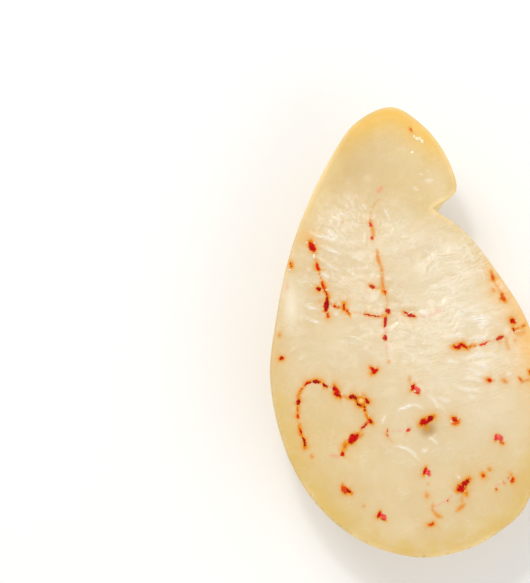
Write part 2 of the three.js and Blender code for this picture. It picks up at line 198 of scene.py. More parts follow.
# Seams stained by chili oil, with no skin in them: tone, then x, y and width along each.
SEAMS = [
    (HONEY, [(-41.6, 0.2, 0.8), (-43.0, -1.4, 0.9), (-43.9, -3.4, 0.9), (-43.9, -6.4, 0.9),
        (-44.1, -12.8, 0.8)]),
    (HONEY, [(-43.5, -15.0, 0.9), (-42.8, -18.2, 1.0), (-41.6, -21.6, 0.8)]),
    (HONEY, [(-41.2, 0.6, 0.6), (-39.6, 1.6, 0.6), (-36.6, 2.0, 0.6), (-33.4, 0.7, 0.6),
        (-30.2, -0.2, 0.4)]),
    (HONEY, [(-27.0, -3.8, 0.7), (-24.0, -3.9, 0.6)]),
    (AMBER, [(-20.6, -5.0, 1.0), (-19.6, -7.2, 1.1), (-18.0, -7.6, 0.8), (-17.2, -9.4, 0.5),
        (-16.4, -12.4, 0.5)]),
    (HONEY, [(-17.8, -3.2, 0.8), (-16.6, -4.2, 0.7)]),
    (HONEY, [(-19.4, -20.2, 0.8), (-18.2, -18.8, 0.7)]),
    (HONEY, [(-25.0, -22.0, 1.2), (-25.0, -23.6, 1.5), (-25.8, -26.0, 0.9)]),
    (AMBER, [(-25.0, -22.4, 1.1), (-25.2, -23.8, 1.2), (-25.6, -25.4, 0.9)]),
    (HONEY, [(-38.4, 54.8, 1.3), (-37.4, 53.4, 0.9)]),
    (HONEY, [(-37.2, 51.8, 0.5), (-36.3, 49.4, 0.9), (-35.8, 47.2, 0.7)]),
    (PEACH, [(-35.7, 46.6, 0.6), (-34.9, 43.0, 0.6)]),
    (AMBER, [(-34.8, 42.6, 0.4), (-33.8, 40.0, 0.6), (-32.4, 36.8, 0.4)]),
    (PEACH, [(-35.4, 34.2, 1.0), (-33.4, 34.6, 0.9)]),
    (HONEY, [(-32.9, 31.0, 0.8), (-32.0, 28.2, 0.7)]),
    (AMBER, [(-31.2, 33.6, 0.2), (-29.2, 32.0, 0.4), (-26.4, 31.8, 0.4)]),
    (PEACH, [(-23.6, 29.6, 0.6), (-20.4, 29.8, 0.5), (-17.8, 29.2, 0.5)]),
    (HONEY, [(-13.4, 28.5, 0.5), (-10.6, 28.3, 0.6)]),
    (HONEY, [(-15.0, 67.0, 0.6), (-14.1, 63.6, 0.9), (-13.9, 61.6, 0.8), (-13.8, 59.6, 0.6)]),
    (HONEY, [(-12.2, 54.9, 0.5), (-12.1, 53.8, 0.7)]),
    (HONEY, [(-12.2, 53.4, 0.6), (-11.8, 51.0, 1.0), (-11.0, 48.8, 0.7)]),
    (HONEY, [(-10.5, 47.8, 0.7), (-10.4, 46.6, 0.8)]),
    (HONEY, [(-10.3, 46.0, 0.6), (-10.2, 42.8, 0.7), (-10.0, 40.0, 0.8)]),
    (HONEY, [(-13.0, 39.7, 0.6), (-10.2, 39.6, 0.7)]),
    (PEACH, [(-8.6, 37.0, 0.7), (-8.3, 34.6, 0.6), (-8.2, 32.0, 0.6)]),
    (BLUSH, [(-9.0, 24.0, 0.6), (-9.0, 18.0, 0.8), (-8.3, 14.0, 0.4), (-8.0, 10.6, 0.5)]),
    (BLUSH, [(3.4, 28.3, 0.6), (7.0, 28.4, 0.5), (10.0, 29.2, 0.6), (13.0, 30.6, 0.7)]),
    (HONEY, [(18.4, 17.0, 0.7), (20.2, 17.6, 0.9)]),
    (AMBER, [(24.2, 15.8, 0.5), (26.0, 16.6, 0.5), (29.2, 16.9, 0.3)]),
    (BLUSH, [(39.0, 20.4, 0.5), (40.6, 21.4, 0.5), (42.2, 22.7, 0.5)]),
    (PEACH, [(32.6, 18.4, 0.6), (35.2, 18.6, 0.6), (37.2, 18.2, 1.2)]),
    (PEACH, [(39.3, 20.2, 0.9), (39.6, 17.6, 0.9), (40.4, 15.4, 0.9)]),
    (HONEY, [(33.3, 46.4, 0.7), (34.0, 44.2, 0.9)]),
    (HONEY, [(34.4, 39.0, 0.8), (34.8, 38.7, 0.6)]),
    (PEACH, [(35.2, 41.4, 0.6), (36.2, 39.6, 0.8), (37.6, 37.6, 0.8)]),
    (AMBER, [(43.2, 23.2, 0.4), (44.4, 23.7, 0.4), (46.9, 24.8, 0.5)]),
    (PEACH, [(43.4, 22.4, 1.6), (44.6, 21.6, 2.2), (46.2, 22.0, 1.6)]),
    (HONEY, [(7.4, -14.9, 1.2), (7.4, -16.0, 1.2), (7.2, -17.0, 0.6)]),
    (HONEY, [(-26.2, -39.0, 0.8), (-25.8, -40.8, 1.8), (-25.4, -42.0, 1.9)]),
    (AMBER, [(22.3, -40.6, 0.7), (22.7, -41.8, 0.9), (23.1, -43.2, 0.6)]),
    (HONEY, [(21.4, -41.4, 1.0), (22.2, -42.6, 1.1)]),
    (PEACH, [(22.0, -43.0, 0.9), (21.4, -44.6, 0.9), (21.6, -46.4, 0.8)]),
    (HONEY, [(22.1, -47.0, 0.8), (20.8, -48.4, 1.0), (19.2, -49.6, 0.5)]),
    (BLUSH, [(17.3, -43.7, 0.6), (15.6, -45.2, 0.7), (12.8, -46.6, 0.5), (10.0, -48.0, 0.8)]),
    (HONEY, [(10.5, -50.2, 0.7), (11.8, -51.4, 1.0), (13.4, -52.0, 0.5)]),
    (HONEY, [(9.0, -54.6, 1.0), (9.0, -55.2, 1.0)]),
    (BLUSH, [(40.4, -36.8, 0.6), (38.3, -38.2, 0.4), (35.0, -39.4, 0.6)]),
    (HONEY, [(41.0, -34.8, 0.8), (41.2, -35.4, 0.6)]),
    (BLUSH, [(-8.0, -17.9, 0.4), (-4.0, -17.6, 0.5), (0.0, -17.2, 0.4)]),
    (PEACH, [(-8.2, -20.2, 0.7), (-6.0, -22.2, 0.5)]),
    (PEACH, [(0.8, 4.2, 0.6), (0.6, 2.4, 1.0), (1.4, 0.8, 0.8)]),
    (BLUSH, [(-31.0, -27.4, 0.6), (-29.2, -27.6, 0.9), (-27.4, -28.4, 0.6)]),
    (BLUSH, [(-11.6, 78.6, 1.2), (-10.6, 79.8, 1.0)]),
    (AMBER, [(-14.2, 5.6, 0.9), (-13.4, 5.4, 0.6)]),
    (HONEY, [(33.4, 2.6, 0.7), (34.0, 2.6, 0.6)]),
    (HONEY, [(38.1, 2.9, 0.9), (39.3, 2.0, 0.8)]),
    (HONEY, [(46.0, 2.4, 0.6), (48.6, 2.8, 0.7)]),
    (AMBER, [(48.4, 6.8, 0.4), (48.8, 5.2, 0.5)]),
    (HONEY, [(43.0, 18.9, 0.5), (43.1, 18.6, 0.5)]),
    (HONEY, [(-38.6, -27.6, 0.7), (-38.5, -27.9, 0.7)]),
    (HONEY, [(-51.4, 21.4, 0.6), (-51.5, 20.4, 0.7)]),
    (HONEY, [(-50.4, 11.0, 1.2), (-49.8, 11.8, 0.8)]),
    (HONEY, [(-47.0, 50.2, 0.8), (-46.2, 49.6, 0.7)]),
    (HONEY, [(-17.8, -47.6, 0.6), (-17.7, -47.8, 0.5)]),
    (HONEY, [(7.4, -42.8, 0.8), (7.5, -43.6, 0.9)]),
    (HONEY, [(7.9, -38.8, 0.5), (8.0, -39.0, 0.4)]),
    (HONEY, [(1.2, 104.0, 0.7), (1.7, 102.9, 0.8)]),
    (PEACH, [(-11.4, 75.4, 0.4), (-14.0, 72.2, 0.5), (-15.0, 67.4, 0.5)]),
    (HONEY, [(-7.9, 10.6, 0.6), (-7.8, 10.2, 0.6)]),
    (BLUSH, [(-48.4, 41.4, 0.5), (-48.2, 38.8, 0.5)]),
    (PEACH, [(-26.6, 65.6, 0.4), (-25.8, 66.4, 0.4)]),
]

# The seed: its place, and the radius and height of each of its rings, with the waver of its outline.
SEED_SPOT = (-18.8, -5.4)
SEED_RADIUS = 1.7
SEED_PROFILE = [(0.35, 0.32), (0.62, 0.38), (0.8, 0.55), (0.92, 0.52), (1.0, 0.2), (0.94, -0.2), (0.7, -0.5)]
SEED_WAVES = [(0.06, 2, 0.6), (0.03, 3, 0.0)]
SEED_STEPS = 36

# Flakes of the rind, spread over the back by the golden angle. Rows and turns are a start and a span.
RIND_FLAKES = 38
RIND_FLAKE_SEED = 311
HEAD_FLAKE_SHARE = 0.14
BODY_FLAKE_ROWS = (0.14, 0.9)
HEAD_FLAKE_ROWS = (1.1, 0.6)
FLAKE_TURNS = (0.1 * math.pi, 0.8 * math.pi)
FLAKE_LENGTHS = (1.8, 4.6)
FLAKE_WIDTHS = (0.9, 1.9)
FLAKE_BENDS = (-1.0, 1.0)
FLAKE_TONES = (DARK, RED, RED, PINK)
FLAKE_POINTS = 9
FLAKE_THINNING = 0.55
FLAKE_LOPSIDED = 0.3
ARM_LENGTH_SHARE = 0.17
FOOT_CLEARANCE = 4.0
GOLDEN_TURN = math.pi * (3 - math.sqrt(5))
AXIS_STEP = 0.004

# Short seams of the rind: row, turn and width along each, the waves that they sway in, and the bits in them.
RIND_SEAMS = [
    [(0.55, 0.42, 0.8), (0.58, 0.51, 0.5), (0.61, 0.53, 0.9), (0.63, 0.63, 0.6), (0.68, 0.65, 0.9),
     (0.7, 0.72, 0.6)],
    [(0.44, 2.24, 0.6), (0.46, 2.37, 0.9), (0.49, 2.32, 0.5), (0.52, 2.42, 0.9), (0.55, 2.3, 0.5),
     (0.6, 2.34, 0.8)],
    [(0.75, 1.5, 0.6), (0.77, 1.62, 0.9), (0.8, 1.66, 0.9), (0.8, 1.8, 0.5), (0.83, 1.9, 0.6)],
    [(0.37, 0.6, 0.9), (0.33, 0.74, 0.6), (0.28, 0.84, 0.9), (0.27, 1.0, 1.0), (0.31, 1.1, 0.7)],
    [(0.2, 1.95, 0.7), (0.25, 2.1, 1.0), (0.27, 2.25, 0.6), (0.24, 2.4, 0.9), (0.26, 2.55, 0.7)],
    [(0.86, 0.9, 0.8), (0.9, 1.02, 0.6), (0.88, 1.2, 0.9)],
    [(1.35, 0.7, 0.6), (1.42, 0.9, 0.9), (1.4, 1.2, 0.6)],
]
SEAM_SCALE = 10
SEAM_SWAY = 0.1
SEAM_WAVES = [(1.0, 0.31, 0.0), (0.6, 0.83, 1.0), (0.5, 1.9, 0.0)]
SEAM_STAIN_SHARE = 0.5
RIND_BITS = 9
RIND_BIT_SEED = 29
FEWEST_BIT_POINTS = 3
BIT_STARTS = (0.0, 0.4)
BIT_SPANS = (0.3, 0.8)
BIT_WIDTHS = (1.0, 2.8)
BIT_TONES = (DARK, RED, RUST)

# Raised white creases of the cut face, some of them painted glint streaks and the highlight of the nape's
# lip: width, then x and y along each.
CREASES = [
    (1.2, [(-6.7, -23.4), (-3.1, -23.9), (0.9, -25.6), (3.1, -27.9), (5.3, -29.9)]),
    (1.2, [(-4.9, -12.3), (-3.6, -9.2), (-1.3, -8.1), (2.7, -7.2), (5.3, -8.3), (7.1, -10.5)]),
    (1.1, [(-10.2, -15.0), (-9.8, -12.8), (-8.0, -10.8)]),
    (1.5, [(7.1, -2.5), (9.8, -4.8), (12.0, -7.4), (15.6, -10.1)]),
    (1.1, [(11.6, -3.9), (14.7, -5.2), (18.2, -6.1)]),
    (1.1, [(7.6, -18.5), (10.2, -21.2), (12.4, -23.2)]),
    (1.1, [(4.4, -26.1), (8.4, -25.0)]),
    (1.1, [(18.7, -34.8), (21.3, -37.2)]),
    (1.2, [(13.9, 19.9), (17.9, 20.6), (21.5, 20.8), (24.1, 18.9)]),
    (1.4, [(24.1, 19.0), (26.8, 19.9), (30.3, 19.9), (31.9, 21.3), (32.4, 22.3)]),
    (1.5, [(19.7, 12.4), (23.2, 11.3), (26.8, 12.8), (31.7, 13.0), (33.9, 13.0), (36.1, 11.5)]),
    (1.0, [(13.9, 27.5), (20.1, 29.2), (24.6, 30.6), (31.2, 30.8)]),
    (0.9, [(15.7, 28.8), (21.5, 30.8), (26.8, 31.9), (32.2, 33.2)]),
    (0.8, [(17.0, 31.4), (22.4, 33.4), (27.6, 35.4)]),
    (1.0, [(17.6, 22.6), (21.8, 24.4), (26.2, 25.2)]),
    (1.4, [(39.2, 5.7), (41.9, 5.3)]),
    (1.5, [(15.2, 9.9), (17.9, 10.4), (21.0, 9.2)]),
    (1.7, [(26.3, 10.1), (29.0, 8.8), (31.2, 7.7), (33.4, 7.5)]),
    (1.5, [(23.2, 7.5), (26.3, 6.6), (29.0, 5.3), (33.0, 4.2)]),
    (1.4, [(21.0, 3.2), (25.4, 3.4), (30.3, 1.8)]),
    (1.4, [(18.8, -0.1), (23.2, -0.8), (30.8, -1.9)]),
    (1.1, [(24.1, -3.9), (27.2, -4.3)]),
    (1.3, [(-36.0, 56.2), (-32.4, 55.8), (-28.9, 54.0), (-25.8, 52.9)]),
    (1.2, [(-35.6, 52.0), (-33.3, 50.0), (-29.8, 47.8), (-25.8, 46.2)]),
    (1.1, [(-35.6, 46.2), (-33.3, 44.9), (-30.7, 43.8)]),
    (1.1, [(-41.3, 46.7), (-37.8, 47.1)]),
    (1.1, [(-42.0, 28.2), (-37.8, 26.4), (-32.6, 25.0)]),
    (1.1, [(-42.7, 33.3), (-38.7, 31.8), (-35.2, 31.3)]),
    (1.1, [(-29.8, 28.2), (-27.6, 30.2)]),
    (1.1, [(-26.2, 34.9), (-24.4, 36.4)]),
    (0.6, [(-49.7, 12.3), (-46.0, 15.0), (-43.2, 16.8)]),
    (0.6, [(-45.7, 9.3), (-43.0, 11.2), (-40.2, 12.3)]),
    (1.6, [(-39.6, 62.8), (-36.6, 60.6), (-33.0, 60.0), (-30.4, 59.0), (-28.4, 60.3), (-27.9, 61.8)]),
    (2.2, [(-32.0, 63.0), (-30.4, 61.0), (-28.8, 60.4)]),
    (0.9, [(-27.9, 70.3), (-24.3, 68.5)]),
    (0.9, [(-30.2, 68.5), (-26.6, 66.4)]),
    (0.8, [(-31.5, 67.0), (-29.9, 65.2)]),
    (0.8, [(-25.3, 73.6), (-22.8, 71.0)]),
    (0.7, [(-23.0, 75.1), (-20.8, 71.5)]),
    (1.1, [(-17.9, 73.3), (-16.4, 71.3)]),
    (0.8, [(-22.0, 69.5), (-20.5, 67.0)]),
    (1.2, [(-9.2, 71.4), (-8.3, 69.4), (-6.6, 66.2)]),
    (0.8, [(4.6, 85.8), (7.0, 85.0)]),
    (0.9, [(6.4, 83.0), (9.0, 82.8), (11.2, 83.6)]),
    (0.7, [(7.6, 87.0), (9.2, 86.4)]),
    (0.8, [(1.6, 80.2), (5.4, 78.8)]),
    (0.8, [(-17.2, 62.6), (-17.0, 59.4), (-17.3, 56.4)]),
    (2.2, [(22.3, 26.6), (26.8, 27.2), (31.7, 27.9), (33.9, 27.9)]),
    (2.0, [(27.7, 23.9), (30.3, 25.2), (33.4, 26.6)]),
    (2.0, [(4.0, 31.4), (6.6, 29.6), (8.4, 27.0)]),
]
END_TAPER = 0.15

# Strands along the crest of each crease: how far to its side and how wide, as shares of its width.
CREST_STRANDS = [(-0.5, 0.26), (0.0, 0.4), (0.55, 0.22)]
CREST_SEED = 41
CREST_CUT_OFF = 0.35

# Threads that the knife pulled out: how many, where they lie, and how long, wide and wavy they are.
THREADS = 60
THREAD_SEED = 77
THREAD_MIDDLE = (8.0, 34.0)
THREAD_SPREAD = (26.0, 19.0)
THREAD_LENGTHS = (3.0, 13.0)
THREAD_WIDTHS = (0.25, 0.55)
THREAD_SWAY = 0.45
THREAD_POINTS = 7
THREAD_RIM_GAP = 4.5
THREAD_LOWEST = 16.0
THREAD_SIDES = 8
THREAD_DRIFT = 0.7

# Crumbs of curd left on the cut, some of them white lumps set on the flakes as painted glints: x, y and width
# of the large ones, then the fine ones beside the chili.
CRUMBS_AND_GLINTS = [
    (2.8, 100.8, 0.9), (4.0, 99.9, 1.4), (5.9, 98.9, 1.4), (5.0, 100.1, 0.8), (2.0, 94.4, 1.1),
    (-37.5, 52.4, 1.3), (-40.6, 57.9, 0.7), (-37.4, 57.9, 0.6), (-17.1, 40.2, 0.8), (2.8, -1.8, 0.7),
    (1.0, -0.4, 0.5), (36.1, -21.9, 0.7), (34.5, -20.5, 0.5), (17.2, -13.7, 0.7), (20.1, -12.3, 0.5),
    (-10.9, -52.4, 0.6), (-12.5, -51.1, 0.5), (7.3, -35.4, 0.6), (5.9, -34.0, 0.6), (22.7, -41.6, 0.5),
    (-47.4, 47.0, 0.8), (43.6, 26.8, 0.7), (5.0, 29.6, 0.7), (14.4, 30.4, 0.8),
]
CRUMB_SHAPE = (1.7, 1.1, 0.7)
CRUMB_TILT = 0.4
FINE_CRUMBS = 6
FINE_CRUMB_GAPS = (0.4, 2.2)
FINE_CRUMB_WIDTHS = (0.25, 0.5)
CRUMB_SEED = 52
CRUMB_TURN_SEED = 9

# Steps between two given points of a line, and between the samples of stains and folds in millimetres.
FLAKE_STEPS = 12
SEAM_STEPS = 24
CREASE_STEPS = 14
THREAD_STEPS = 6
STAIN_SAMPLE = 0.3
FOLD_SAMPLE = 0.4

# The pulled strands of curd: level along this middle, fanning out to both rims.
STRAND_MIDDLE = (-5.0, 13.0)
STRAND_FAN = 45.0
STRAND_BEND = 15.0

# Painted shade of the cut face where it sinks a little: middle, reach across and along, depth of tone.
PAINTED_HOLLOW_SHADES = [
    ((-20.0, 88.0), (14.0, 16.0), 0.58),
    ((9.5, -15.5), (7.0, 6.0), 0.5),
    ((-17.0, -10.5), (4.5, 8.0), 0.4),
    ((-30.0, 0.0), (9.0, 4.0), 0.3),
    ((-6.5, 38.0), (5.0, 7.0), 0.25),
    ((-31.0, 45.0), (9.0, 14.0), 0.36),
    ((22.0, -43.0), (4.0, 4.5), 0.3),
    ((-42.0, 52.0), (9.0, 16.0), 0.22),
    ((-42.0, 20.0), (10.0, 16.0), 0.24),
]

# Other oval patches, in the same way: middle, reach across and along, strength.
TORN_BELLY = ((8.0, 36.0), (44.0, 36.0), 1.0)
TORN_NAPE = ((-25.0, 68.0), (11.0, 8.0), 0.5)
TORN_FLANK = ((25.0, 10.0), (13.0, 9.0), 0.35)
WARM_LEFT = ((-33.0, -18.0), (20.0, 24.0), 0.6)
WARM_RIGHT = ((32.0, -34.0), (14.0, 12.0), 0.3)
MILKY_FLANK = ((28.0, 22.0), (22.0, 24.0), 0.17)
FLUSHED_FLANK = ((50.0, 18.0), (10.0, 20.0), 0.5)
FLUSHED_SHOULDER = ((37.0, 40.0), (6.0, 9.0), 0.4)
GOLDEN_NAPE = ((-41.0, 60.5), (6.0, 3.0), 0.75)
# Painted glare: a highlight on the left rim and one on the head.
RIM_GLARE = ((-46.8, 33.0), (3.2, 9.0), 0.6)
HEAD_GLARE = ((12.0, 83.0), (6.0, 9.0), 0.2)
NAPE_TUFTS = ((-24.0, 66.0), (13.0, 9.0), 1.0)
NECK_TUFTS = ((-4.0, 62.0), (9.0, 9.0), 0.8)
# Painted light: the yellow rind in the shaded notch at the neck is coloured lighter.
NOTCH_PAINTED_LIGHT = ((17.0, 74.0), (7.0, 8.0), 0.85)

# The tufts of curd fan out round a point. The head has a wide hollow, and a small pit lies by a dark flake.
TUFT_MIDDLE = (-15.0, 50.0)
HEAD_HOLLOW = (-22.0, 88.0)
HEAD_HOLLOW_REACH = 11
HEAD_HOLLOW_DEPTH = 0.4
PIT_SPOT = (8.0, -17.2)
PIT_REACH = 2.3
# The painted shade round the pit lies this far above it.
PIT_SHADE_RISE = 0.4

# The frame of the picture: its size, millimetres to a pixel, and where the zero of the cheese sits in it.
IMAGE_WIDTH = 530
IMAGE_HEIGHT = 583
PIXEL_MM = 0.4
ZERO_PIXEL = (408, 387)
CAMERA_DISTANCE_MM = 1300
CAMERA_TILT_DEG = 4
CAMERA_LEAN = (-0.35, -0.94)
SENSOR_MM = 24.0
CLIP_END = 50.0

# The light, in metres and watts: place, width and strength of each round lamp, and what they aim at.
LAMPS = {
    "window_key": ((-0.3, 0.5, 1.0), 0.5, 3.1),
    "window_glint": ((-0.2, 0.36, 1.05), 0.1, 1.4),
    "soft_fill": ((0.6, -0.5, 1.0), 1.0, 2.2),
}
LAMP_AIM = (0.0, 0.02, 0.05)
SKY_STRENGTH = 0.67
FLOOR_REACH = 6.0


def paint(red, green, blue):
    """A screen colour, 0 to 255 a channel, as the linear colour that shaders take."""
    def linear(channel):
        share = channel / 255
        return share / 12.92 if share <= 0.04045 else ((share + 0.055) / 1.055) ** 2.4

    return (linear(red), linear(green), linear(blue), 1.0)


# Colours of the paste, from its ground to its stains.
CREAM = paint(224, 203, 163)
WARM_STRAW = paint(217, 183, 105)
MILK = paint(236, 221, 190)
CLEAR_CURD = paint(220, 189, 130)
SCORE_AND_SPARKLE_WHITE = paint(248, 238, 214)
CROWN_GOLD = paint(246, 194, 70)
HOLLOW_SHADE_TAN = paint(204, 174, 118)
FLANK_APRICOT = paint(246, 192, 110)
NAPE_OCHRE = paint(228, 176, 86)
LIP_STRAW = paint(232, 202, 138)
DIP_SHADE_TAN = paint(222, 197, 146)
RIDGE_HIGHLIGHT_WHITE = paint(246, 233, 208)
WET_SHEEN_WHITE = paint(250, 240, 218)
RIM_STRAW = paint(221, 184, 88)
SKIN_YELLOW = paint(251, 222, 152)
EDGE_SPECK_BROWN = paint(178, 138, 66)
CREASE_AND_GLINT_WHITE = paint(248, 237, 218)
PIT_SHADE_BROWN = paint(150, 112, 44)
FLUSH_TAN = paint(224, 178, 104)
OIL_ORANGE = paint(231, 154, 46)
BLUSH_PINK = paint(238, 124, 104)
SEAM_AMBER = paint(230, 146, 12)
SEAM_RUST = paint(214, 106, 4)

# Colours of the threads, the rind, the chili, the seed and the floor.
THREAD_WHITE = paint(243, 232, 206)
THREAD_CREAM = paint(236, 220, 186)
THREAD_FADED = paint(231, 214, 177)
CREST_WHITE = paint(251, 243, 230)
HEAD_CREAM = paint(252, 232, 186)
RIND_STRAW = paint(237, 204, 136)
RIND_PALE = paint(244, 220, 166)
BLOOM_WHITE = paint(246, 230, 196)
SCUFF_WHITE = paint(250, 240, 214)
NOTCH_LIGHT_GOLD = paint(255, 224, 138)
SCRATCH_WHITE = paint(252, 244, 222)
RIND_APRICOT = paint(240, 182, 84)
RIND_ORANGE = paint(234, 150, 44)
RIND_RUST = paint(206, 104, 44)
CHILI_DARK = paint(140, 2, 8)
CHILI_RED = paint(220, 12, 8)
CHILI_ORANGE = paint(236, 98, 18)
VEILED_RED = paint(230, 18, 34)
VEIL_PINK = paint(255, 146, 134)
FRINGE_GOLD = paint(236, 156, 52)
FRINGE_RUST = paint(220, 100, 16)
FRINGE_ROSE = paint(240, 138, 92)
SEED_GOLD = paint(243, 198, 114)
SEED_BROWN = paint(228, 134, 12)
FLOOR_WHITE = paint(250, 250, 249)
FLOOR_BRIGHT = paint(253, 253, 252)


# Fields: numbers that vary over a surface, written as plain arithmetic.
def plug(tree, value, socket):
    """Feeds a socket from a field, another socket or a plain value."""
    if isinstance(value, Field):
        value = value.socket
    if isinstance(value, bpy.types.NodeSocket):
        tree.links.new(value, socket)
    else:
        socket.default_value = value


def new_node(tree, kind, inputs=None, **settings):
    """A node with its settings made and its inputs fed, by name or by place."""
    node = tree.nodes.new(kind)
    for name, value in settings.items():
        setattr(node, name, value)
    for key, value in (inputs or {}).items():
        plug(tree, value, node.inputs[key])
    return node


def made(tree, kind, inputs=None, **settings):
    """What a new node gives first."""
    return new_node(tree, kind, inputs, **settings).outputs[0]


class Field:
    """One value that varies over a surface."""

    def __init__(self, tree, socket):
        self.tree = tree
        self.socket = socket

    def apply(self, operation, *others):
        values = dict(enumerate((self, *others)))
        return Field(self.tree, made(self.tree, "ShaderNodeMath", values, operation=operation))

    __add__ = __radd__ = partialmethod(apply, "ADD")
    __mul__ = __rmul__ = partialmethod(apply, "MULTIPLY")
    __sub__ = partialmethod(apply, "SUBTRACT")
    __truediv__ = partialmethod(apply, "DIVIDE")
    __neg__ = partialmethod(apply, "MULTIPLY", -1.0)
    at_least = partialmethod(apply, "MAXIMUM")
    at_most = partialmethod(apply, "MINIMUM")
    above = partialmethod(apply, "GREATER_THAN")
    below = partialmethod(apply, "LESS_THAN")
    angle_to = partialmethod(apply, "ARCTAN2")
    size = partialmethod(apply, "ABSOLUTE")
    sine = partialmethod(apply, "SINE")
    cosine = partialmethod(apply, "COSINE")
    root = partialmethod(apply, "SQRT")
    power_of_e = partialmethod(apply, "EXPONENT")

    def __rsub__(self, other):
        return self.apply("MULTIPLY_ADD", -1.0, other)

    def squared(self):
        return self * self

    def bell(self, reach):
        """1 at zero, dying out smoothly past the reach on both sides."""
        share = self / reach
        return (-share.squared()).power_of_e()

    def fade(self, reach):
        """1 at zero and below, dying out past the reach."""
        return (-self.at_least(0.0) / reach).power_of_e()

    def crest(self, middle, sharpness):
        """1 at the middle value, falling straight to 0 on both sides."""
        return (1 - (self - middle).size() * sharpness).at_least(0.0)

    def smooth(self, low, high):
        """0 below low and 1 above high, with a smooth step between."""
        inputs = {0: self, 1: low, 2: high}
        step = made(self.tree, "ShaderNodeMapRange", inputs, interpolation_type="SMOOTHSTEP")
        return Field(self.tree, step)

    def blend(self, low, high):
        """Low where this field is 0 and high where it is 1."""
        return low + (high - low) * self


def parts(tree, vector):
    """The three fields of a vector."""
    node = new_node(tree, "ShaderNodeSeparateXYZ", {0: vector})
    return [Field(tree, output) for output in node.outputs]


def vector_of(tree, x, y, z):
    return Field(tree, made(tree, "ShaderNodeCombineXYZ", {0: x, 1: y, 2: z}))


def vector_math(tree, operation, *values):
    node = new_node(tree, "ShaderNodeVectorMath", dict(enumerate(values)), operation=operation)
    return node.outputs["Value" if operation in ("DOT_PRODUCT", "LENGTH") else "Vector"]


def scaled(tree, vector, factor):
    return made(tree, "ShaderNodeVectorMath", {0: vector, "Scale": factor}, operation="SCALE")


def noise(tree, vector, scale=1.0, detail=2.0, roughness=0.5):
    """Soft noise around 0.5."""
    inputs = {"Vector": vector, "Scale": scale, "Detail": detail, "Roughness": roughness}
    return Field(tree, made(tree, "ShaderNodeTexNoise", inputs))


def streaks(tree, across, along, seed, detail=2.0, roughness=0.5):
    """Soft noise drawn out into streaks, another for each seed."""
    return noise(tree, vector_of(tree, across, along, seed), 1.0, detail, roughness)


def drift(tree, vector, scale, detail=2.0):
    """A wandering vector around zero."""
    node = new_node(tree, "ShaderNodeTexNoise", {"Vector": vector, "Scale": scale, "Detail": detail})
    return vector_math(tree, "SUBTRACT", node.outputs["Color"], (0.5, 0.5, 0.5))


def hypot(x, y):
    return (x.squared() + y.squared()).root()


class Place:
    """Where a point of the cheese lies, in millimetres."""

    def __init__(self, tree, position):
        self.tree = tree
        self.vector = scaled(tree, position, 1 / MM)
        self.x, self.y, self.z = parts(tree, self.vector)

    def noise(self, scale, detail=2.0, roughness=0.5):
        """Soft noise around 0.5."""
        return noise(self.tree, self.vector, scale, detail, roughness)

    def ripple(self, scale, detail=2.0, roughness=0.5):
        """Soft noise around zero."""
        return self.noise(scale, detail, roughness) - 0.5

    def face_noise(self, seed, scale, detail=2.0, roughness=0.5):
        """Soft noise that is the same at every height, another for each seed."""
        return noise(self.tree, vector_of(self.tree, self.x, self.y, seed), scale, detail, roughness)

    def away(self, spot):
        """How far off a spot of the cut face the point lies."""
        return hypot(self.x - spot[0], self.y - spot[1])

    def patch(self, spot, reach, strength):
        """An oval patch of the cut face: full in its middle, dying out past its reach."""
        share = hypot((self.x - spot[0]) / reach[0], (self.y - spot[1]) / reach[1])
        return share.bell(1.0) * strength


# The outline of the cut face and the rule that hangs a section under each of its chords.
def smooth_line(points, per_span):
    """A centripetal Catmull-Rom curve through points of x and y, with any further values carried along."""
    knots = np.array(points, dtype=float)
    knots = np.vstack([2 * knots[0] - knots[1], knots, 2 * knots[-1] - knots[-2]])
    gaps = np.sqrt(np.linalg.norm(np.diff(knots[:, :2], axis=0), axis=1))[:, None]
    steps = np.linspace(0, 1, per_span, endpoint=False)[:, None]
    spans = []
    for i in range(1, len(knots) - 2):
        before, start, end, after = knots[i - 1:i + 3]
        gap_in, gap, gap_out = gaps[i - 1:i + 2]
        leave = ((start - before) / gap_in - (end - before) / (gap_in + gap) + (end - start) / gap) * gap
        arrive = ((end - start) / gap - (after - start) / (gap + gap_out) + (after - end) / gap_out) * gap
        square = -3 * start + 3 * end - 2 * leave - arrive
        cube = 2 * start - 2 * end + leave + arrive
        spans.append(start + leave * steps + square * steps ** 2 + cube * steps ** 3)
    spans.append(knots[-2:-1])
    return np.vstack(spans)


OUTLINE = smooth_line(OUTLINE_POINTS, OUTLINE_STEPS)
OUTLINE_LENGTHS = np.append(0.0, np.cumsum(np.linalg.norm(np.diff(OUTLINE, axis=0), axis=1)))
OUTLINE_LENGTH = float(OUTLINE_LENGTHS[-1])
OUTLINE_SHARES = OUTLINE_LENGTHS / OUTLINE_LENGTH
TAIL_SHARE = float(OUTLINE_SHARES[np.argmin(OUTLINE[:, 1])])
CROWN_SHARE = float(OUTLINE_SHARES[np.argmax(OUTLINE[:, 1])])
NAPE_SHARE = float(OUTLINE_SHARES[np.argmin(np.linalg.norm(OUTLINE - NAPE, axis=1))])


def outline_at(share):
    return np.array([np.interp(share, OUTLINE_SHARES, OUTLINE[:, axis]) for axis in (0, 1)])


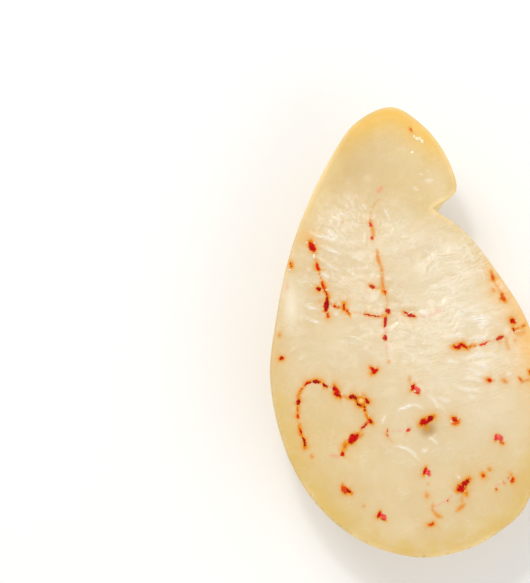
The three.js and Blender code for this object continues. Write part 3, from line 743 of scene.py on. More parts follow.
def in_from_rim(point):
    """How far inside the outline a point of the cut face lies, below zero outside it."""
    ends = np.roll(OUTLINE, -1, axis=0)
    crosses = (OUTLINE[:, 1] > point[1]) != (ends[:, 1] > point[1])
    rise = np.where(crosses, ends[:, 1] - OUTLINE[:, 1], 1.0)
    at = OUTLINE[:, 0] + (point[1] - OUTLINE[:, 1]) / rise * (ends[:, 0] - OUTLINE[:, 0])
    is_inside = np.count_nonzero(crosses & (at > point[0])) % 2 == 1
    distance = np.min(np.linalg.norm(OUTLINE - point, axis=1))
    return distance if is_inside else -distance


def ease(row):
    return row - ROW_EASE * math.sin(FULL_TURN * row) / FULL_TURN


def bell(distance, reach):
    return math.exp(-(distance / reach) ** 2)


def smoothstep(value, low, high):
    share = min(max((value - low) / (high - low), 0.0), 1.0)
    return share * share * (3 - 2 * share)


def rind_point(row, turn):
    """A point of the rind, in millimetres: turn is 0 at the right edge of the cut, pi at the left."""
    body = ease(min(row, 1.0))
    head = ease(max(row - 1.0, 0.0))
    right_share = TAIL_SHARE * (1 - body) if row <= 1 else 1 + (CROWN_SHARE - 1) * head
    left_share = TAIL_SHARE + (NAPE_SHARE - TAIL_SHARE) * body + (CROWN_SHARE - NAPE_SHARE) * head
    right = outline_at(right_share)
    left = outline_at(left_share)
    middle = (left + right) / 2
    ratio = DEPTH_RATIO + (HEAD_DEPTH_RATIO - DEPTH_RATIO) * smoothstep(row, *NECK_ROWS)
    groove = 1 - GROOVE_DEPTH * bell(row - 1, GROOVE_WIDTH)
    depth = np.linalg.norm(right - left) / 2 * ratio * groove * (1 + BELLY_SHIFT * middle[1])
    from_neck = OUTLINE_LENGTH * min(right_share, 1 - right_share)
    bite = NOTCH_BITE * bell(from_neck, NOTCH_REACH) * bell(turn, NOTCH_TURN)
    x, y = middle + (right - left) / 2 * math.cos(turn)
    return np.array([x - bite, y, max(CUT_HEIGHT - depth * math.sin(turn), 0.0)])


def rind_axes(row, turn):
    """Unit directions along and round the rind at a point."""
    along = rind_point(row + AXIS_STEP, turn) - rind_point(row - AXIS_STEP, turn)
    around = rind_point(row, turn + AXIS_STEP) - rind_point(row, turn - AXIS_STEP)
    return along / np.linalg.norm(along), around / np.linalg.norm(around)


# Growing a piece from the rules of its shape.
SOCKETS = {bpy.types.Object: "NodeSocketObject", float: "NodeSocketFloat", int: "NodeSocketInt"}


def link(thing):
    bpy.context.scene.collection.objects.link(thing)
    return thing


def grow(name, shape, materials, sizes):
    """Grows a piece by its rules of shape, with a named input for each size, and keeps it as a plain mesh."""
    tree = bpy.data.node_groups.new(name, "GeometryNodeTree")
    for way in ("INPUT", "OUTPUT"):
        tree.interface.new_socket("Geometry", in_out=way, socket_type="NodeSocketGeometry")
    for size, value in sizes.items():
        tree.interface.new_socket(size, in_out="INPUT", socket_type=SOCKETS[type(value)])
    start = tree.nodes.new("NodeGroupInput")
    shape(tree, {size: Field(tree, start.outputs[size]) for size in sizes}, *materials)
    piece = link(bpy.data.objects.new(name, bpy.data.meshes.new(name + "_start")))
    modifier = piece.modifiers.new(tree.name, "NODES")
    modifier.node_group = tree
    for item in tree.interface.items_tree:
        if item.in_out == "INPUT" and item.name in sizes:
            modifier[item.identifier] = sizes[item.name]
    depsgraph = bpy.context.evaluated_depsgraph_get()
    grown = piece.evaluated_get(depsgraph)
    mesh = bpy.data.meshes.new_from_object(grown, preserve_all_data_layers=True, depsgraph=depsgraph)
    piece.modifiers.clear()
    piece.data = mesh
    mesh.name = name
    return piece


def geometry_of(tree, thing):
    return new_node(tree, "GeometryNodeObjectInfo", {"Object": thing}).outputs["Geometry"]


def position_of(tree):
    return made(tree, "GeometryNodeInputPosition")


def normal_of(tree):
    return made(tree, "GeometryNodeInputNormal")


def move_to(tree, geometry, position, selection=True):
    inputs = {0: geometry, "Selection": selection, "Position": position}
    return made(tree, "GeometryNodeSetPosition", inputs)


def move_by(tree, geometry, offset):
    return made(tree, "GeometryNodeSetPosition", {0: geometry, "Offset": offset})


def keep(tree, geometry, values, kind="FLOAT"):
    """Stores fields on the points, each under its name."""
    for name, value in values.items():
        inputs = {"Geometry": geometry, "Name": name, "Value": value}
        geometry = made(tree, "GeometryNodeStoreNamedAttribute", inputs, data_type=kind, domain="POINT")
    return geometry


def kept(tree, name, kind="FLOAT"):
    return Field(tree, made(tree, "GeometryNodeInputNamedAttribute", {"Name": name}, data_type=kind))


def nearest_value(tree, geometry, name):
    """A kept value of the nearest point of a geometry."""
    index = made(tree, "GeometryNodeSampleNearest", {0: geometry}, domain="POINT")
    return Field(tree, made(tree, "GeometryNodeSampleIndex", {0: geometry, 1: kept(tree, name), 2: index}))


def nearest(tree, geometry, element):
    """The nearest place of a geometry, and how far off it is in millimetres."""
    node = new_node(tree, "GeometryNodeProximity", {0: geometry}, target_element=element)
    return node.outputs["Position"], Field(tree, node.outputs["Distance"]) / MM


def bed_of(tree, cheese):
    """The nearest point of the cheese and the outward direction there."""
    cheese = geometry_of(tree, cheese)
    inputs = {0: cheese, 1: normal_of(tree)}
    outward = made(tree, "GeometryNodeSampleNearestSurface", inputs, data_type="FLOAT_VECTOR")
    return nearest(tree, cheese, "FACES")[0], outward


def press_in(tree, geometry, bed, outward, flatness, proud):
    """Flattens what lies on the cheese down to its bed, and raises or sinks it by a little."""
    from_bed = vector_math(tree, "SUBTRACT", position_of(tree), bed)
    stands = Field(tree, vector_math(tree, "DOT_PRODUCT", from_bed, outward))
    return move_by(tree, geometry, scaled(tree, outward, stands * (flatness - 1) + proud * MM))


def even_curve(tree, lines, step):
    """The given lines with their points at an even step, in millimetres."""
    curve = made(tree, "GeometryNodeMeshToCurve", {0: geometry_of(tree, lines)})
    return made(tree, "GeometryNodeResampleCurve", {0: curve, "Length": step * MM}, mode="LENGTH")


def points_of(tree, curve):
    return made(tree, "GeometryNodeCurveToPoints", {0: curve}, mode="EVALUATED")


def realized(tree, geometry):
    return made(tree, "GeometryNodeRealizeInstances", {0: geometry})


def finish_mesh(tree, geometry, *materials):
    """Ends a piece: real and smooth, with its materials, each on the faces that take it."""
    geometry = made(tree, "GeometryNodeSetShadeSmooth", {0: realized(tree, geometry)})
    for material, selection in materials:
        inputs = {0: geometry, "Selection": selection, "Material": material}
        geometry = made(tree, "GeometryNodeSetMaterial", inputs)
    end = tree.nodes.new("NodeGroupOutput")
    tree.links.new(geometry, end.inputs[0])


def line_helper(name, lines):
    """A bare mesh of lines, in millimetres, each with its points, widths and tone. It isn't kept."""
    points, edges, values = [], [], {"width": [], "orange": [], "veil": [], "stain": []}
    for place, widths, tone in lines:
        first = len(points)
        count = len(place)
        points.extend(place)
        edges.extend((first + i, first + i + 1) for i in range(count - 1))
        values["width"].extend(widths)
        for key, value in zip(("orange", "veil", "stain"), tone):
            values[key].extend([value] * count)
    mesh = bpy.data.meshes.new(name)
    mesh.from_pydata((np.array(points) * MM).tolist(), edges, [])
    for key, numbers in values.items():
        attribute = mesh.attributes.new(key, "FLOAT", "POINT")
        attribute.data.foreach_set("value", np.array(numbers, dtype=float))
    return link(bpy.data.objects.new(name, mesh))


def outline_curve():
    """The outline of the cut face as a curve. It isn't kept."""
    curve = bpy.data.curves.new("outline", "CURVE")
    curve.dimensions = "3D"
    line = curve.splines.new("POLY")
    line.points.add(len(OUTLINE) - 1)
    for point, (x, y) in zip(line.points, OUTLINE):
        point.co = (x * MM, y * MM, 0.0, 1.0)
    return link(bpy.data.objects.new("outline", curve))


# Where the chili, the creases and the threads of curd lie.
def on_cut(line):
    return np.column_stack([line[:, :2], np.full(len(line), CUT_HEIGHT)])


def face_lines(strips):
    for tone, points in strips:
        line = smooth_line(points, FLAKE_STEPS)
        yield on_cut(line), line[:, 2], tone


def rind_seam_lines():
    """The seams of the rind, each swaying in a few waves."""
    for points in RIND_SEAMS:
        line = [(SEAM_SCALE * row, SEAM_SCALE * turn, width) for row, turn, width in points]
        line = smooth_line(line, SEAM_STEPS)
        steps = np.arange(len(line))
        waves = [share * np.sin(pace * steps + start) for share, pace, start in SEAM_WAVES]
        line[:, 1] += SEAM_SWAY * sum(waves)
        place = np.array([rind_point(row / SEAM_SCALE, turn / SEAM_SCALE) for row, turn in line[:, :2]])
        yield place, SEAM_STAIN_SHARE * line[:, 2], AMBER


def rind_bit_lines():
    """Bits of chili skin strung along each seam of the rind, with gaps between."""
    draw = np.random.default_rng(RIND_BIT_SEED)
    for place, widths, _ in rind_seam_lines():
        span = len(place) // RIND_BITS
        for i in range(RIND_BITS):
            first = i * span + int(draw.uniform(*BIT_STARTS) * span)
            last = first + max(FEWEST_BIT_POINTS, int(draw.uniform(*BIT_SPANS) * span))
            width = draw.uniform(*BIT_WIDTHS)
            yield place[first:last], width * widths[first:last], BIT_TONES[draw.integers(len(BIT_TONES))]


def rind_flake_lines():
    """Flakes of the rind, each a short bent strip with two arms."""
    draw = np.random.default_rng(RIND_FLAKE_SEED)
    steps = np.linspace(-1, 1, FLAKE_POINTS)[:, None]
    for i in range(RIND_FLAKES):
        share = (i + 0.5) / RIND_FLAKES
        over_head = (share - 1 + HEAD_FLAKE_SHARE) / HEAD_FLAKE_SHARE
        row = BODY_FLAKE_ROWS[0] + BODY_FLAKE_ROWS[1] * share
        if over_head > 0:
            row = HEAD_FLAKE_ROWS[0] + HEAD_FLAKE_ROWS[1] * over_head
        turn = FLAKE_TURNS[0] + FLAKE_TURNS[1] * (i * GOLDEN_TURN / FULL_TURN % 1)
        point = rind_point(row, turn)
        length = draw.uniform(*FLAKE_LENGTHS)
        width = draw.uniform(*FLAKE_WIDTHS)
        bend = draw.uniform(*FLAKE_BENDS)
        tone = FLAKE_TONES[draw.integers(len(FLAKE_TONES))]
        if point[2] < FOOT_CLEARANCE:
            continue
        along, around = rind_axes(row, turn)
        lie = along * math.cos(i * GOLDEN_TURN) + around * math.sin(i * GOLDEN_TURN)
        aside = around * math.cos(i * GOLDEN_TURN) - along * math.sin(i * GOLDEN_TURN)
        place = point + lie * steps * length / 2 + aside * (1 - steps ** 2) * bend
        yield place, width * (1 - FLAKE_THINNING * np.abs(steps[:, 0] + FLAKE_LOPSIDED * bend) ** 1.5), tone
        for way in (-1, 1):
            arm = point + (aside + lie * bend) * way * (steps + 1) * length * ARM_LENGTH_SHARE
            yield arm, width * (0.5 - 0.22 * steps[:, 0]), RED


def tapered(count):
    """Widths along a line: full in the middle, thin at both ends."""
    return np.sin(np.linspace(END_TAPER, math.pi - END_TAPER, count))


def crease_lines():
    """The creases, each down its middle."""
    for width, points in CREASES:
        line = smooth_line(points, CREASE_STEPS)
        yield on_cut(line), width * tapered(len(line)), WHITE


def crest_lines():
    """Fine strands along the crest of each crease, no two of a length."""
    draw = np.random.default_rng(CREST_SEED)
    for width, points in CREASES:
        line = smooth_line(points, CREASE_STEPS)
        ahead = np.gradient(line, axis=0)
        aside = np.column_stack([-ahead[:, 1], ahead[:, 0]]) / np.linalg.norm(ahead, axis=1)[:, None]
        for offset, share in CREST_STRANDS:
            cut_off = (draw.uniform(0.0, CREST_CUT_OFF, 2) * len(line)).astype(int)
            strand = (line + aside * offset * width)[cut_off[0]:len(line) - cut_off[1]]
            yield on_cut(strand), share * width * tapered(len(strand)), WHITE


def thread_lines():
    """Fine threads that the knife pulled out of the curd, each along the bend of the strands."""
    draw = np.random.default_rng(THREAD_SEED)
    steps = np.linspace(-0.5, 0.5, THREAD_POINTS)
    left = THREADS
    while left:
        middle = draw.normal(THREAD_MIDDLE, THREAD_SPREAD)
        length = draw.uniform(*THREAD_LENGTHS)
        width = draw.uniform(*THREAD_WIDTHS)
        sway = draw.normal(0.0, THREAD_SWAY, THREAD_POINTS)
        if in_from_rim(middle) < THREAD_RIM_GAP or middle[1] < THREAD_LOWEST:
            continue
        x = middle[0] + steps * length
        fan = 1 + np.hypot(x - STRAND_MIDDLE[0], STRAND_BEND) / STRAND_FAN
        y = STRAND_MIDDLE[1] + (middle[1] - STRAND_MIDDLE[1]) * fan / fan[THREAD_POINTS // 2] + sway
        taper = 1.15 - 2 * np.abs(steps)
        line = smooth_line(np.column_stack([x, y, width * taper]), THREAD_STEPS)
        yield on_cut(line), line[:, 2], PLAIN
        left -= 1


def crumb_lines():
    """The large crumbs, then fine ones thrown beside the chili of the cut face, each a single point."""
    draw = np.random.default_rng(CRUMB_SEED)
    for x, y, width in CRUMBS_AND_GLINTS:
        yield [(x, y, CUT_HEIGHT)], [width], PLAIN
    for _ in range(FINE_CRUMBS):
        x, y, width = FLAKES[draw.integers(len(FLAKES))][1][0]
        angle = draw.uniform(0.0, FULL_TURN)
        reach = width * 0.5 + draw.uniform(*FINE_CRUMB_GAPS)
        spot = (x + reach * math.cos(angle), y + reach * math.sin(angle), CUT_HEIGHT)
        yield [spot], [draw.uniform(*FINE_CRUMB_WIDTHS)], PLAIN


# The rules of shape of each piece.
def plain_skin(tree, size):
    """The skin of the half before its relief, wrapped round the back and then over the cut face."""
    inputs = {"Size X": 1.0, "Size Y": 1.0, "Vertices X": size["Steps"] + 1, "Vertices Y": size["Rows"] + 1}
    grid = new_node(tree, "GeometryNodeMeshGrid", inputs)
    u, v, _ = parts(tree, grid.outputs["UV Map"])

    def spread(share):
        return share + (share * FULL_TURN).sine() * (ROW_SPREAD * ROW_EASE / FULL_TURN)

    def eased(row):
        return row - (row * FULL_TURN).sine() * (ROW_EASE / FULL_TURN)

    body_row = spread((v / BODY_SHARE).at_most(1.0))
    head_row = spread(((v - BODY_SHARE) / (1 - BODY_SHARE)).at_least(0.0))
    row = body_row + head_row
    on_head = v.above(BODY_SHARE + GRID_SLACK)
    body = eased(body_row)
    head = eased(head_row)
    right_share = on_head.blend(TAIL_SHARE * (1 - body), 1 + (CROWN_SHARE - 1) * head)
    left_share = TAIL_SHARE + (NAPE_SHARE - TAIL_SHARE) * body + (CROWN_SHARE - NAPE_SHARE) * head
    curve = geometry_of(tree, size["Outline"])

    def outline_mm(share):
        inputs = {0: curve, "Factor": share}
        node = new_node(tree, "GeometryNodeSampleCurve", inputs, mode="FACTOR", use_all_curves=True)
        return parts(tree, scaled(tree, node.outputs["Position"], 1 / MM))[:2]

    right_x, right_y = outline_mm(right_share)
    left_x, left_y = outline_mm(left_share)
    middle_x = (left_x + right_x) / 2
    middle_y = (left_y + right_y) / 2
    half_x = (right_x - left_x) / 2
    half_y = (right_y - left_y) / 2
    ratio = row.smooth(*NECK_ROWS).blend(DEPTH_RATIO, HEAD_DEPTH_RATIO)
    groove = 1 - GROOVE_DEPTH * (row - 1).bell(GROOVE_WIDTH)
    depth = hypot(half_x, half_y) * ratio * groove * (1 + BELLY_SHIFT * middle_y)
    from_neck = right_share.at_most(1 - right_share) * OUTLINE_LENGTH
    bite = NOTCH_BITE * from_neck.bell(NOTCH_REACH)

    turn = (u / BACK_SHARE).at_most(1.0) * math.pi
    over = ((u - BACK_SHARE) / (1 - BACK_SHARE)).at_least(0.0)
    on_face = u.above(BACK_SHARE + GRID_SLACK)
    at_end = u.above(1 - GRID_SLACK)
    reach = on_face.blend(turn.cosine(), 2 * over - 1)
    bitten = bite * on_face.blend(turn.bell(NOTCH_TURN), over)
    x = middle_x + half_x * reach - bitten
    y = middle_y + half_y * reach
    z = (CUT_HEIGHT - depth * turn.sine() * (1 - on_face)).at_least(0.0)
    skin = move_to(tree, grid.outputs["Mesh"], scaled(tree, vector_of(tree, x, y, z), MM))
    on_rim = (u - BACK_SHARE).size().below(GRID_SLACK) + u.below(GRID_SLACK) + at_end
    skin = keep(tree, skin, {"cut": on_face * (1 - at_end), "rim": on_rim, "row": row, "round": turn})
    skin = made(tree, "GeometryNodeMergeByDistance", {0: skin, "Distance": WELD_DISTANCE})
    return skin, u.above(BACK_SHARE)


def chili_marks(at, size):
    """What the chili does to the paste round it: a wide flush, oil, a stained seam, or a veiled blush."""
    stains = points_of(at.tree, even_curve(at.tree, size["Chili"], STAIN_SAMPLE))
    width, veil, stain = [nearest_value(at.tree, stains, name) for name in ("width", "veil", "stain")]
    ragged = at.ripple(0.9, 3.0, 0.6)
    away = nearest(at.tree, stains, "POINTS")[1] - width * 0.5
    stained = 1 - (away - 0.15 + ragged * 0.9).smooth(-0.45, 0.8)
    halo = (away + ragged * 1.2).fade(size["Oil Reach"]) * width.smooth(0.05, 0.9)
    ground = away.fade(size["Flush Reach"]) * width.smooth(0.1, 1.0)
    return {
        "flush": ground * (1 - veil) * stain,
        "oil": halo * (1 - veil) * stain,
        "seam": stained * (1 - veil) * stain,
        "blush": (stained * 0.35 + halo * 0.35) * veil * stain,
    }


def half_cheese(tree, size, paste, rind):
    """The half cheese: its skin, stained round the chili and raised in relief."""
    skin, on_face = plain_skin(tree, size)
    inputs = {0: skin, "Selection": kept(tree, "rim").above(0.5)}
    edge = nearest(tree, made(tree, "GeometryNodeMeshToPoints", inputs), "POINTS")[1]
    at = Place(tree, position_of(tree))
    skin = keep(tree, skin, {"edge": edge, **chili_marks(at, size)})

    folds = points_of(tree, even_curve(tree, size["Creases"], FOLD_SAMPLE))
    fold_width = nearest_value(tree, folds, "width")
    from_fold = (nearest(tree, folds, "POINTS")[1] + at.ripple(0.5) * 0.7).at_least(0.0)
    crease = from_fold.bell(fold_width * 0.45 + 0.12) * fold_width.smooth(0.0, 1.0)
    cut = kept(tree, "cut")
    skin = keep(tree, skin, {"crease": crease * cut})
    height = (curd_relief(at, size) + crease * size["Crease Height"]) * edge.smooth(0.0, 2.5) * cut
    swell = rind_relief(at, size) * edge.smooth(0.5, 6.0) * (1 - cut) * at.z.smooth(0.0, 6.0)
    rise = vector_of(tree, 0.0, 0.0, height * MM)
    skin = move_by(tree, skin, vector_math(tree, "ADD", rise, scaled(tree, normal_of(tree), swell * MM)))

    inputs = {0: position_of(tree), "Iterations": SOFT_ROUNDS}
    softened = made(tree, "GeometryNodeBlurAttribute", inputs, data_type="FLOAT_VECTOR")
    skin = move_to(tree, skin, softened, kept(tree, "edge").below(SOFT_EDGE))
    finish_mesh(tree, skin, (rind, True), (paste, on_face))


def strand_place(at):
    """Where a point lies across and along the pulled strands, in millimetres."""
    wander = (at.face_noise(3.0, 0.04) - 0.5) * 14 + (at.face_noise(3.0, 0.12) - 0.5) * 10
    fan = 1 + ((at.x - STRAND_MIDDLE[0]).squared() + STRAND_BEND ** 2).root() / STRAND_FAN
    return (at.y - STRAND_MIDDLE[1]) / fan * 1.5 + wander, at.x * 1.1


def torn_zone(at):
    """1 where the knife tore the curd most, 0 where it cut clean."""
    uneven = at.face_noise(11.0, 0.06).smooth(0.35, 0.62)
    belly = at.patch(*TORN_BELLY) * (0.3 + 1.1 * uneven) * (1 - at.y.smooth(62.0, 80.0) * 0.75)
    return (belly + at.patch(*TORN_NAPE) + at.patch(*TORN_FLANK)).at_most(1.0)


def curd_relief(at, size):
    """Height of the torn curd over the cut face."""
    across, along = strand_place(at)
    pitch = size["Strand Pitch"]
    length = size["Strand Length"]
    pulled = streaks(at.tree, across / pitch, along / length, 0.0, 2.0, 0.55)
    fibre = streaks(at.tree, across / (pitch * 0.45), along / (length * 0.4), 7.0, 3.0, 0.6)
    torn = torn_zone(at)
    waves = (at.face_noise(20.0, 0.05) - 0.5) * 1.0
    pit = at.away(PIT_SPOT).bell(PIT_REACH) * size["Pit Depth"]
    hollow = at.away(HEAD_HOLLOW).bell(HEAD_HOLLOW_REACH) * HEAD_HOLLOW_DEPTH
    strands = ((pulled - 0.5) * 2 + pulled.crest(0.5, 7) * 0.5) * size["Strand Height"] * torn
    fibres = (fibre - 0.5) * size["Fibre Height"] * (0.25 + 0.75 * torn)
    return strands + fibres + waves - pit - hollow


def rind_relief(at, size):
    """Swell of the rind: soft lumps, small dents and the pleats gathered at the neck."""
    lumps = at.ripple(0.035) * 2
    dents = at.ripple(0.16, 3.0) * 0.6
    near_neck = (kept(at.tree, "row") - 1.0).bell(0.16)
    pleat = (kept(at.tree, "round") * 13 + lumps * 3).cosine() * near_neck * 0.55
    return (lumps + dents) * size["Rind Swell"] + pleat


def chili_pieces(tree, size, chili):
    """Bits of chili skin: grains packed along each strip, run together, torn ragged and pressed in."""
    curve = even_curve(tree, size["Strips"], size["Step"])
    along = Field(tree, new_node(tree, "GeometryNodeSplineParameter").outputs["Factor"])
    length = Field(tree, new_node(tree, "GeometryNodeSplineLength").outputs["Length"]) / MM
    blunt = (along * (1 - along) * 4).at_least(0.0).root()
    taper = 1 - (1 - blunt) * length.smooth(0.8, 3.5) * 0.6
    width = kept(tree, "width")
    points = points_of(tree, keep(tree, curve, {"width": width * taper}))
    place = scaled(tree, position_of(tree), 1 / MM)
    aside = scaled(tree, drift(tree, place, 1.1), width * 0.8)
    points = move_to(tree, points, vector_math(tree, "ADD", place, aside))
    grain = noise(tree, position_of(tree), 1.7).smooth(0.3, 0.7)
    fringe = size["Fringe"] * width.smooth(0.2, 1.6)
    points = keep(tree, points, {"reach": width * (0.26 + grain * 0.42) + fringe})
    inputs = {0: points, "Density": 1.0, "Voxel Size": size["Grain"], "Radius": kept(tree, "reach")}
    volume = made(tree, "GeometryNodePointsToVolume", inputs, resolution_mode="VOXEL_SIZE")
    inputs = {0: volume, "Voxel Size": size["Grain"], "Threshold": 0.1}
    bits = made(tree, "GeometryNodeVolumeToMesh", inputs, resolution_mode="VOXEL_SIZE")
    for name in ("orange", "veil", "width", "reach"):
        bits = keep(tree, bits, {name: nearest_value(tree, points, name)})
    coarse = drift(tree, position_of(tree), 0.9, 3.0)
    jag = vector_math(tree, "ADD", coarse, drift(tree, position_of(tree), 2.2))
    bits = move_by(tree, bits, scaled(tree, jag, size["Ragged"]))
    bits = move_to(tree, bits, scaled(tree, position_of(tree), MM))

    bed, outward = bed_of(tree, size["Cheese"])
    middle = move_to(tree, points, scaled(tree, position_of(tree), MM))
    from_middle = vector_math(tree, "SUBTRACT", position_of(tree), nearest(tree, middle, "POINTS")[0])
    aside = vector_math(tree, "CROSS_PRODUCT", from_middle, outward)
    aside = Field(tree, vector_math(tree, "LENGTH", aside)) / MM
    at = Place(tree, position_of(tree))
    core = kept(tree, "reach") - fringe * (0.3 + 0.8 * at.noise(0.9).smooth(0.3, 0.7))
    ragged = at.ripple(1.9, 3.0) * 0.2
    bits = keep(tree, bits, {"fringe": (aside - core + ragged).smooth(0.0, fringe)})
    bits = press_in(tree, bits, bed, outward, size["Flatness"], size["Proud"])
    finish_mesh(tree, bits, (chili, True))


def curd_threads(tree, size, curd):
    """Raised white threads of curd: a fine strand laid along each line and half sunk in the cut face."""
    curve = even_curve(tree, size["Lines"], size["Step"])
    curve = move_by(tree, curve, scaled(tree, drift(tree, position_of(tree), 500.0), THREAD_DRIFT * MM))
    bed, outward = bed_of(tree, size["Cheese"])
    curve = keep(tree, curve, {"outward": outward}, "FLOAT_VECTOR")
    curve = move_to(tree, curve, bed)
    curve = keep(tree, curve, {"bed": position_of(tree)}, "FLOAT_VECTOR")
    swell = noise(tree, position_of(tree), 420.0).smooth(0.32, 0.66) * 1.0 + 0.35
    ring = made(tree, "GeometryNodeCurvePrimitiveCircle", {"Resolution": THREAD_SIDES, "Radius": 1.0})
    inputs = {0: curve, 1: ring, "Scale": kept(tree, "width") * swell * (0.5 * MM), "Fill Caps": True}
    strands = made(tree, "GeometryNodeCurveToMesh", inputs)
    bed, outward = [kept(tree, name, "FLOAT_VECTOR") for name in ("bed", "outward")]
    strands = press_in(tree, strands, bed, outward, size["Flatness"], size["Proud"])
    finish_mesh(tree, strands, (curd, True))


def curd_crumbs(tree, size, curd):
    """Crumbs of curd, some set on the flakes as painted glints: a small lump at each spot, turned and sized
    apart, torn and half sunk in the cut.
    """
    spots = move_to(tree, geometry_of(tree, size["Spots"]), bed_of(tree, size["Cheese"])[0])
    lump = made(tree, "GeometryNodeMeshIcoSphere", {"Radius": 0.5 * MM, "Subdivisions": 2})
    least = (-CRUMB_TILT, -CRUMB_TILT, 0.0)
    most = (CRUMB_TILT, CRUMB_TILT, FULL_TURN)
    inputs = {"Min": least, "Max": most, "Seed": CRUMB_TURN_SEED}
    turn = made(tree, "FunctionNodeRandomValue", inputs, data_type="FLOAT_VECTOR")
    width = kept(tree, "width")
    shape = vector_of(tree, *(width * share for share in CRUMB_SHAPE))
    inputs = {"Points": spots, "Instance": lump, "Rotation": turn, "Scale": shape}
    crumbs = realized(tree, made(tree, "GeometryNodeInstanceOnPoints", inputs))
    place = scaled(tree, position_of(tree), 1 / MM)
    crumbs = move_by(tree, crumbs, scaled(tree, drift(tree, place, 1.3), size["Torn"] * MM))
    bed, outward = bed_of(tree, size["Cheese"])
    crumbs = press_in(tree, crumbs, bed, outward, size["Flatness"], -size["Sunk"])
    finish_mesh(tree, crumbs, (curd, True))


def chili_seed(material):
    """A flat round seed with a raised rim, bedded in the paste."""
    points, faces = [], []
    for radius, height in SEED_PROFILE:
        for i in range(SEED_STEPS):
            angle = FULL_TURN * i / SEED_STEPS
            waver = sum((share * math.cos(lobes * angle + start) for share, lobes, start in SEED_WAVES), 1)
            reach = SEED_RADIUS * radius * waver
            x = SEED_SPOT[0] + reach * math.cos(angle)
            y = SEED_SPOT[1] + reach * math.sin(angle)
            points.append((x * MM, y * MM, (CUT_HEIGHT + height) * MM))
    last = len(points) - SEED_STEPS
    for first in range(0, last, SEED_STEPS):
        below = first + SEED_STEPS
        for i in range(SEED_STEPS):
            j = (i + 1) % SEED_STEPS
            faces.append((first + i, below + i, below + j, first + j))
    faces.append(tuple(range(SEED_STEPS)))
    faces.append(tuple(reversed(range(last, len(points)))))
    mesh = bpy.data.meshes.new("chili_seed")
    mesh.from_pydata(points, [], faces)
    mesh.polygons.foreach_set("use_smooth", [True] * len(mesh.polygons))
    mesh.materials.append(material)
    return link(bpy.data.objects.new("chili_seed", mesh))


# Materials.
def new_material(name):
    """A new material, the place of a point on its piece, and its shader."""
    material = bpy.data.materials.new(name)
    material.use_nodes = True
    tree = material.node_tree
    position = new_node(tree, "ShaderNodeTexCoord").outputs["Object"]
    return material, Place(tree, position), tree.nodes["Principled BSDF"]


def stored(tree, name):
    return Field(tree, new_node(tree, "ShaderNodeAttribute", attribute_name=name).outputs["Fac"])


def layered(tree, colour, *coats):
    """A colour with others laid over it in turn, each as far as it covers."""
    for cover, coat in coats:
        inputs = {0: cover, 6: colour, 7: coat}
        colour = new_node(tree, "ShaderNodeMix", inputs, data_type="RGBA").outputs[2]
    return colour


def finish(tree, shader, values):
    """Sets the finish of a material, by the names of the shader's inputs."""
    for name, value in values.items():
        plug(tree, value, shader.inputs[name])


def bump(tree, height, distance, strength):
    """Fine relief of a surface, with its height in millimetres."""
    return made(tree, "ShaderNodeBump", {"Height": height, "Distance": distance * MM, "Strength": strength})


def curd_ground(at, edge, mottle):
    """The curd itself: cream to straw yellow, with milky and clear clouds, fine white scores and specks of
    painted sparkle.
    """
    warm = 0.06 + (-at.y).smooth(2.0, 52.0) * 0.36 + at.patch(*WARM_LEFT) + at.patch(*WARM_RIGHT)
    warm = warm + at.y.smooth(58.0, 84.0) * 0.62
    warm = warm + (edge + mottle * 6).bell(7.0) * 0.55 + mottle * 1.1 + at.ripple(0.6, 3.0, 0.65) * 0.4
    milk = at.noise(0.07, 3.0, 0.55).smooth(0.35, 0.7) * 0.36 + at.patch(*MILKY_FLANK)
    clear = at.face_noise(60.0, 0.06).smooth(0.45, 0.75) * 0.25
    scored = streaks(at.tree, at.x * 0.3 + mottle * 5, at.y * 0.9 - at.x * 0.25, 80.0, 3.0, 0.6)
    dash = scored.crest(0.5, 20) * at.noise(0.16).smooth(0.5, 0.66)
    # Tiny white specks of painted sparkle.
    sparkle_speck = at.noise(1.3).smooth(0.68, 0.76)
    return layered(
        at.tree, CREAM,
        (warm.at_least(0.0).at_most(1.0), WARM_STRAW),
        (milk, MILK),
        (clear, CLEAR_CURD),
        ((dash * 0.22 + sparkle_speck * 0.12).at_most(0.7), SCORE_AND_SPARKLE_WHITE),
    )


def face_coats(at, edge):
    """Tints of the cut face: the golden crown, painted shade in its hollows, the flushed flank, the nape and
    its lip.
    """
    yield edge.smooth(-0.4, 2.0) * edge.bell(8.5) * at.y.smooth(80.0, 106.0) * 0.85, CROWN_GOLD
    # Painted shade where the cut face sinks a little.
    for shade in PAINTED_HOLLOW_SHADES:
        yield at.patch(*shade), HOLLOW_SHADE_TAN
    right_rim = edge.bell(7.0) * at.x.smooth(26.0, 36.0) * at.y.smooth(-26.0, 4.0) * 0.5
    flush = at.patch(*FLUSHED_FLANK) + right_rim + at.patch(*FLUSHED_SHOULDER)
    yield flush.at_most(0.85), FLANK_APRICOT
    yield at.patch(*GOLDEN_NAPE), NAPE_OCHRE
    lip = edge.bell(5.0) * (-at.x).smooth(18.0, 30.0) * at.y.smooth(52.0, 66.0)
    yield lip * (1 - at.y.smooth(88.0, 100.0)) * 0.6, LIP_STRAW


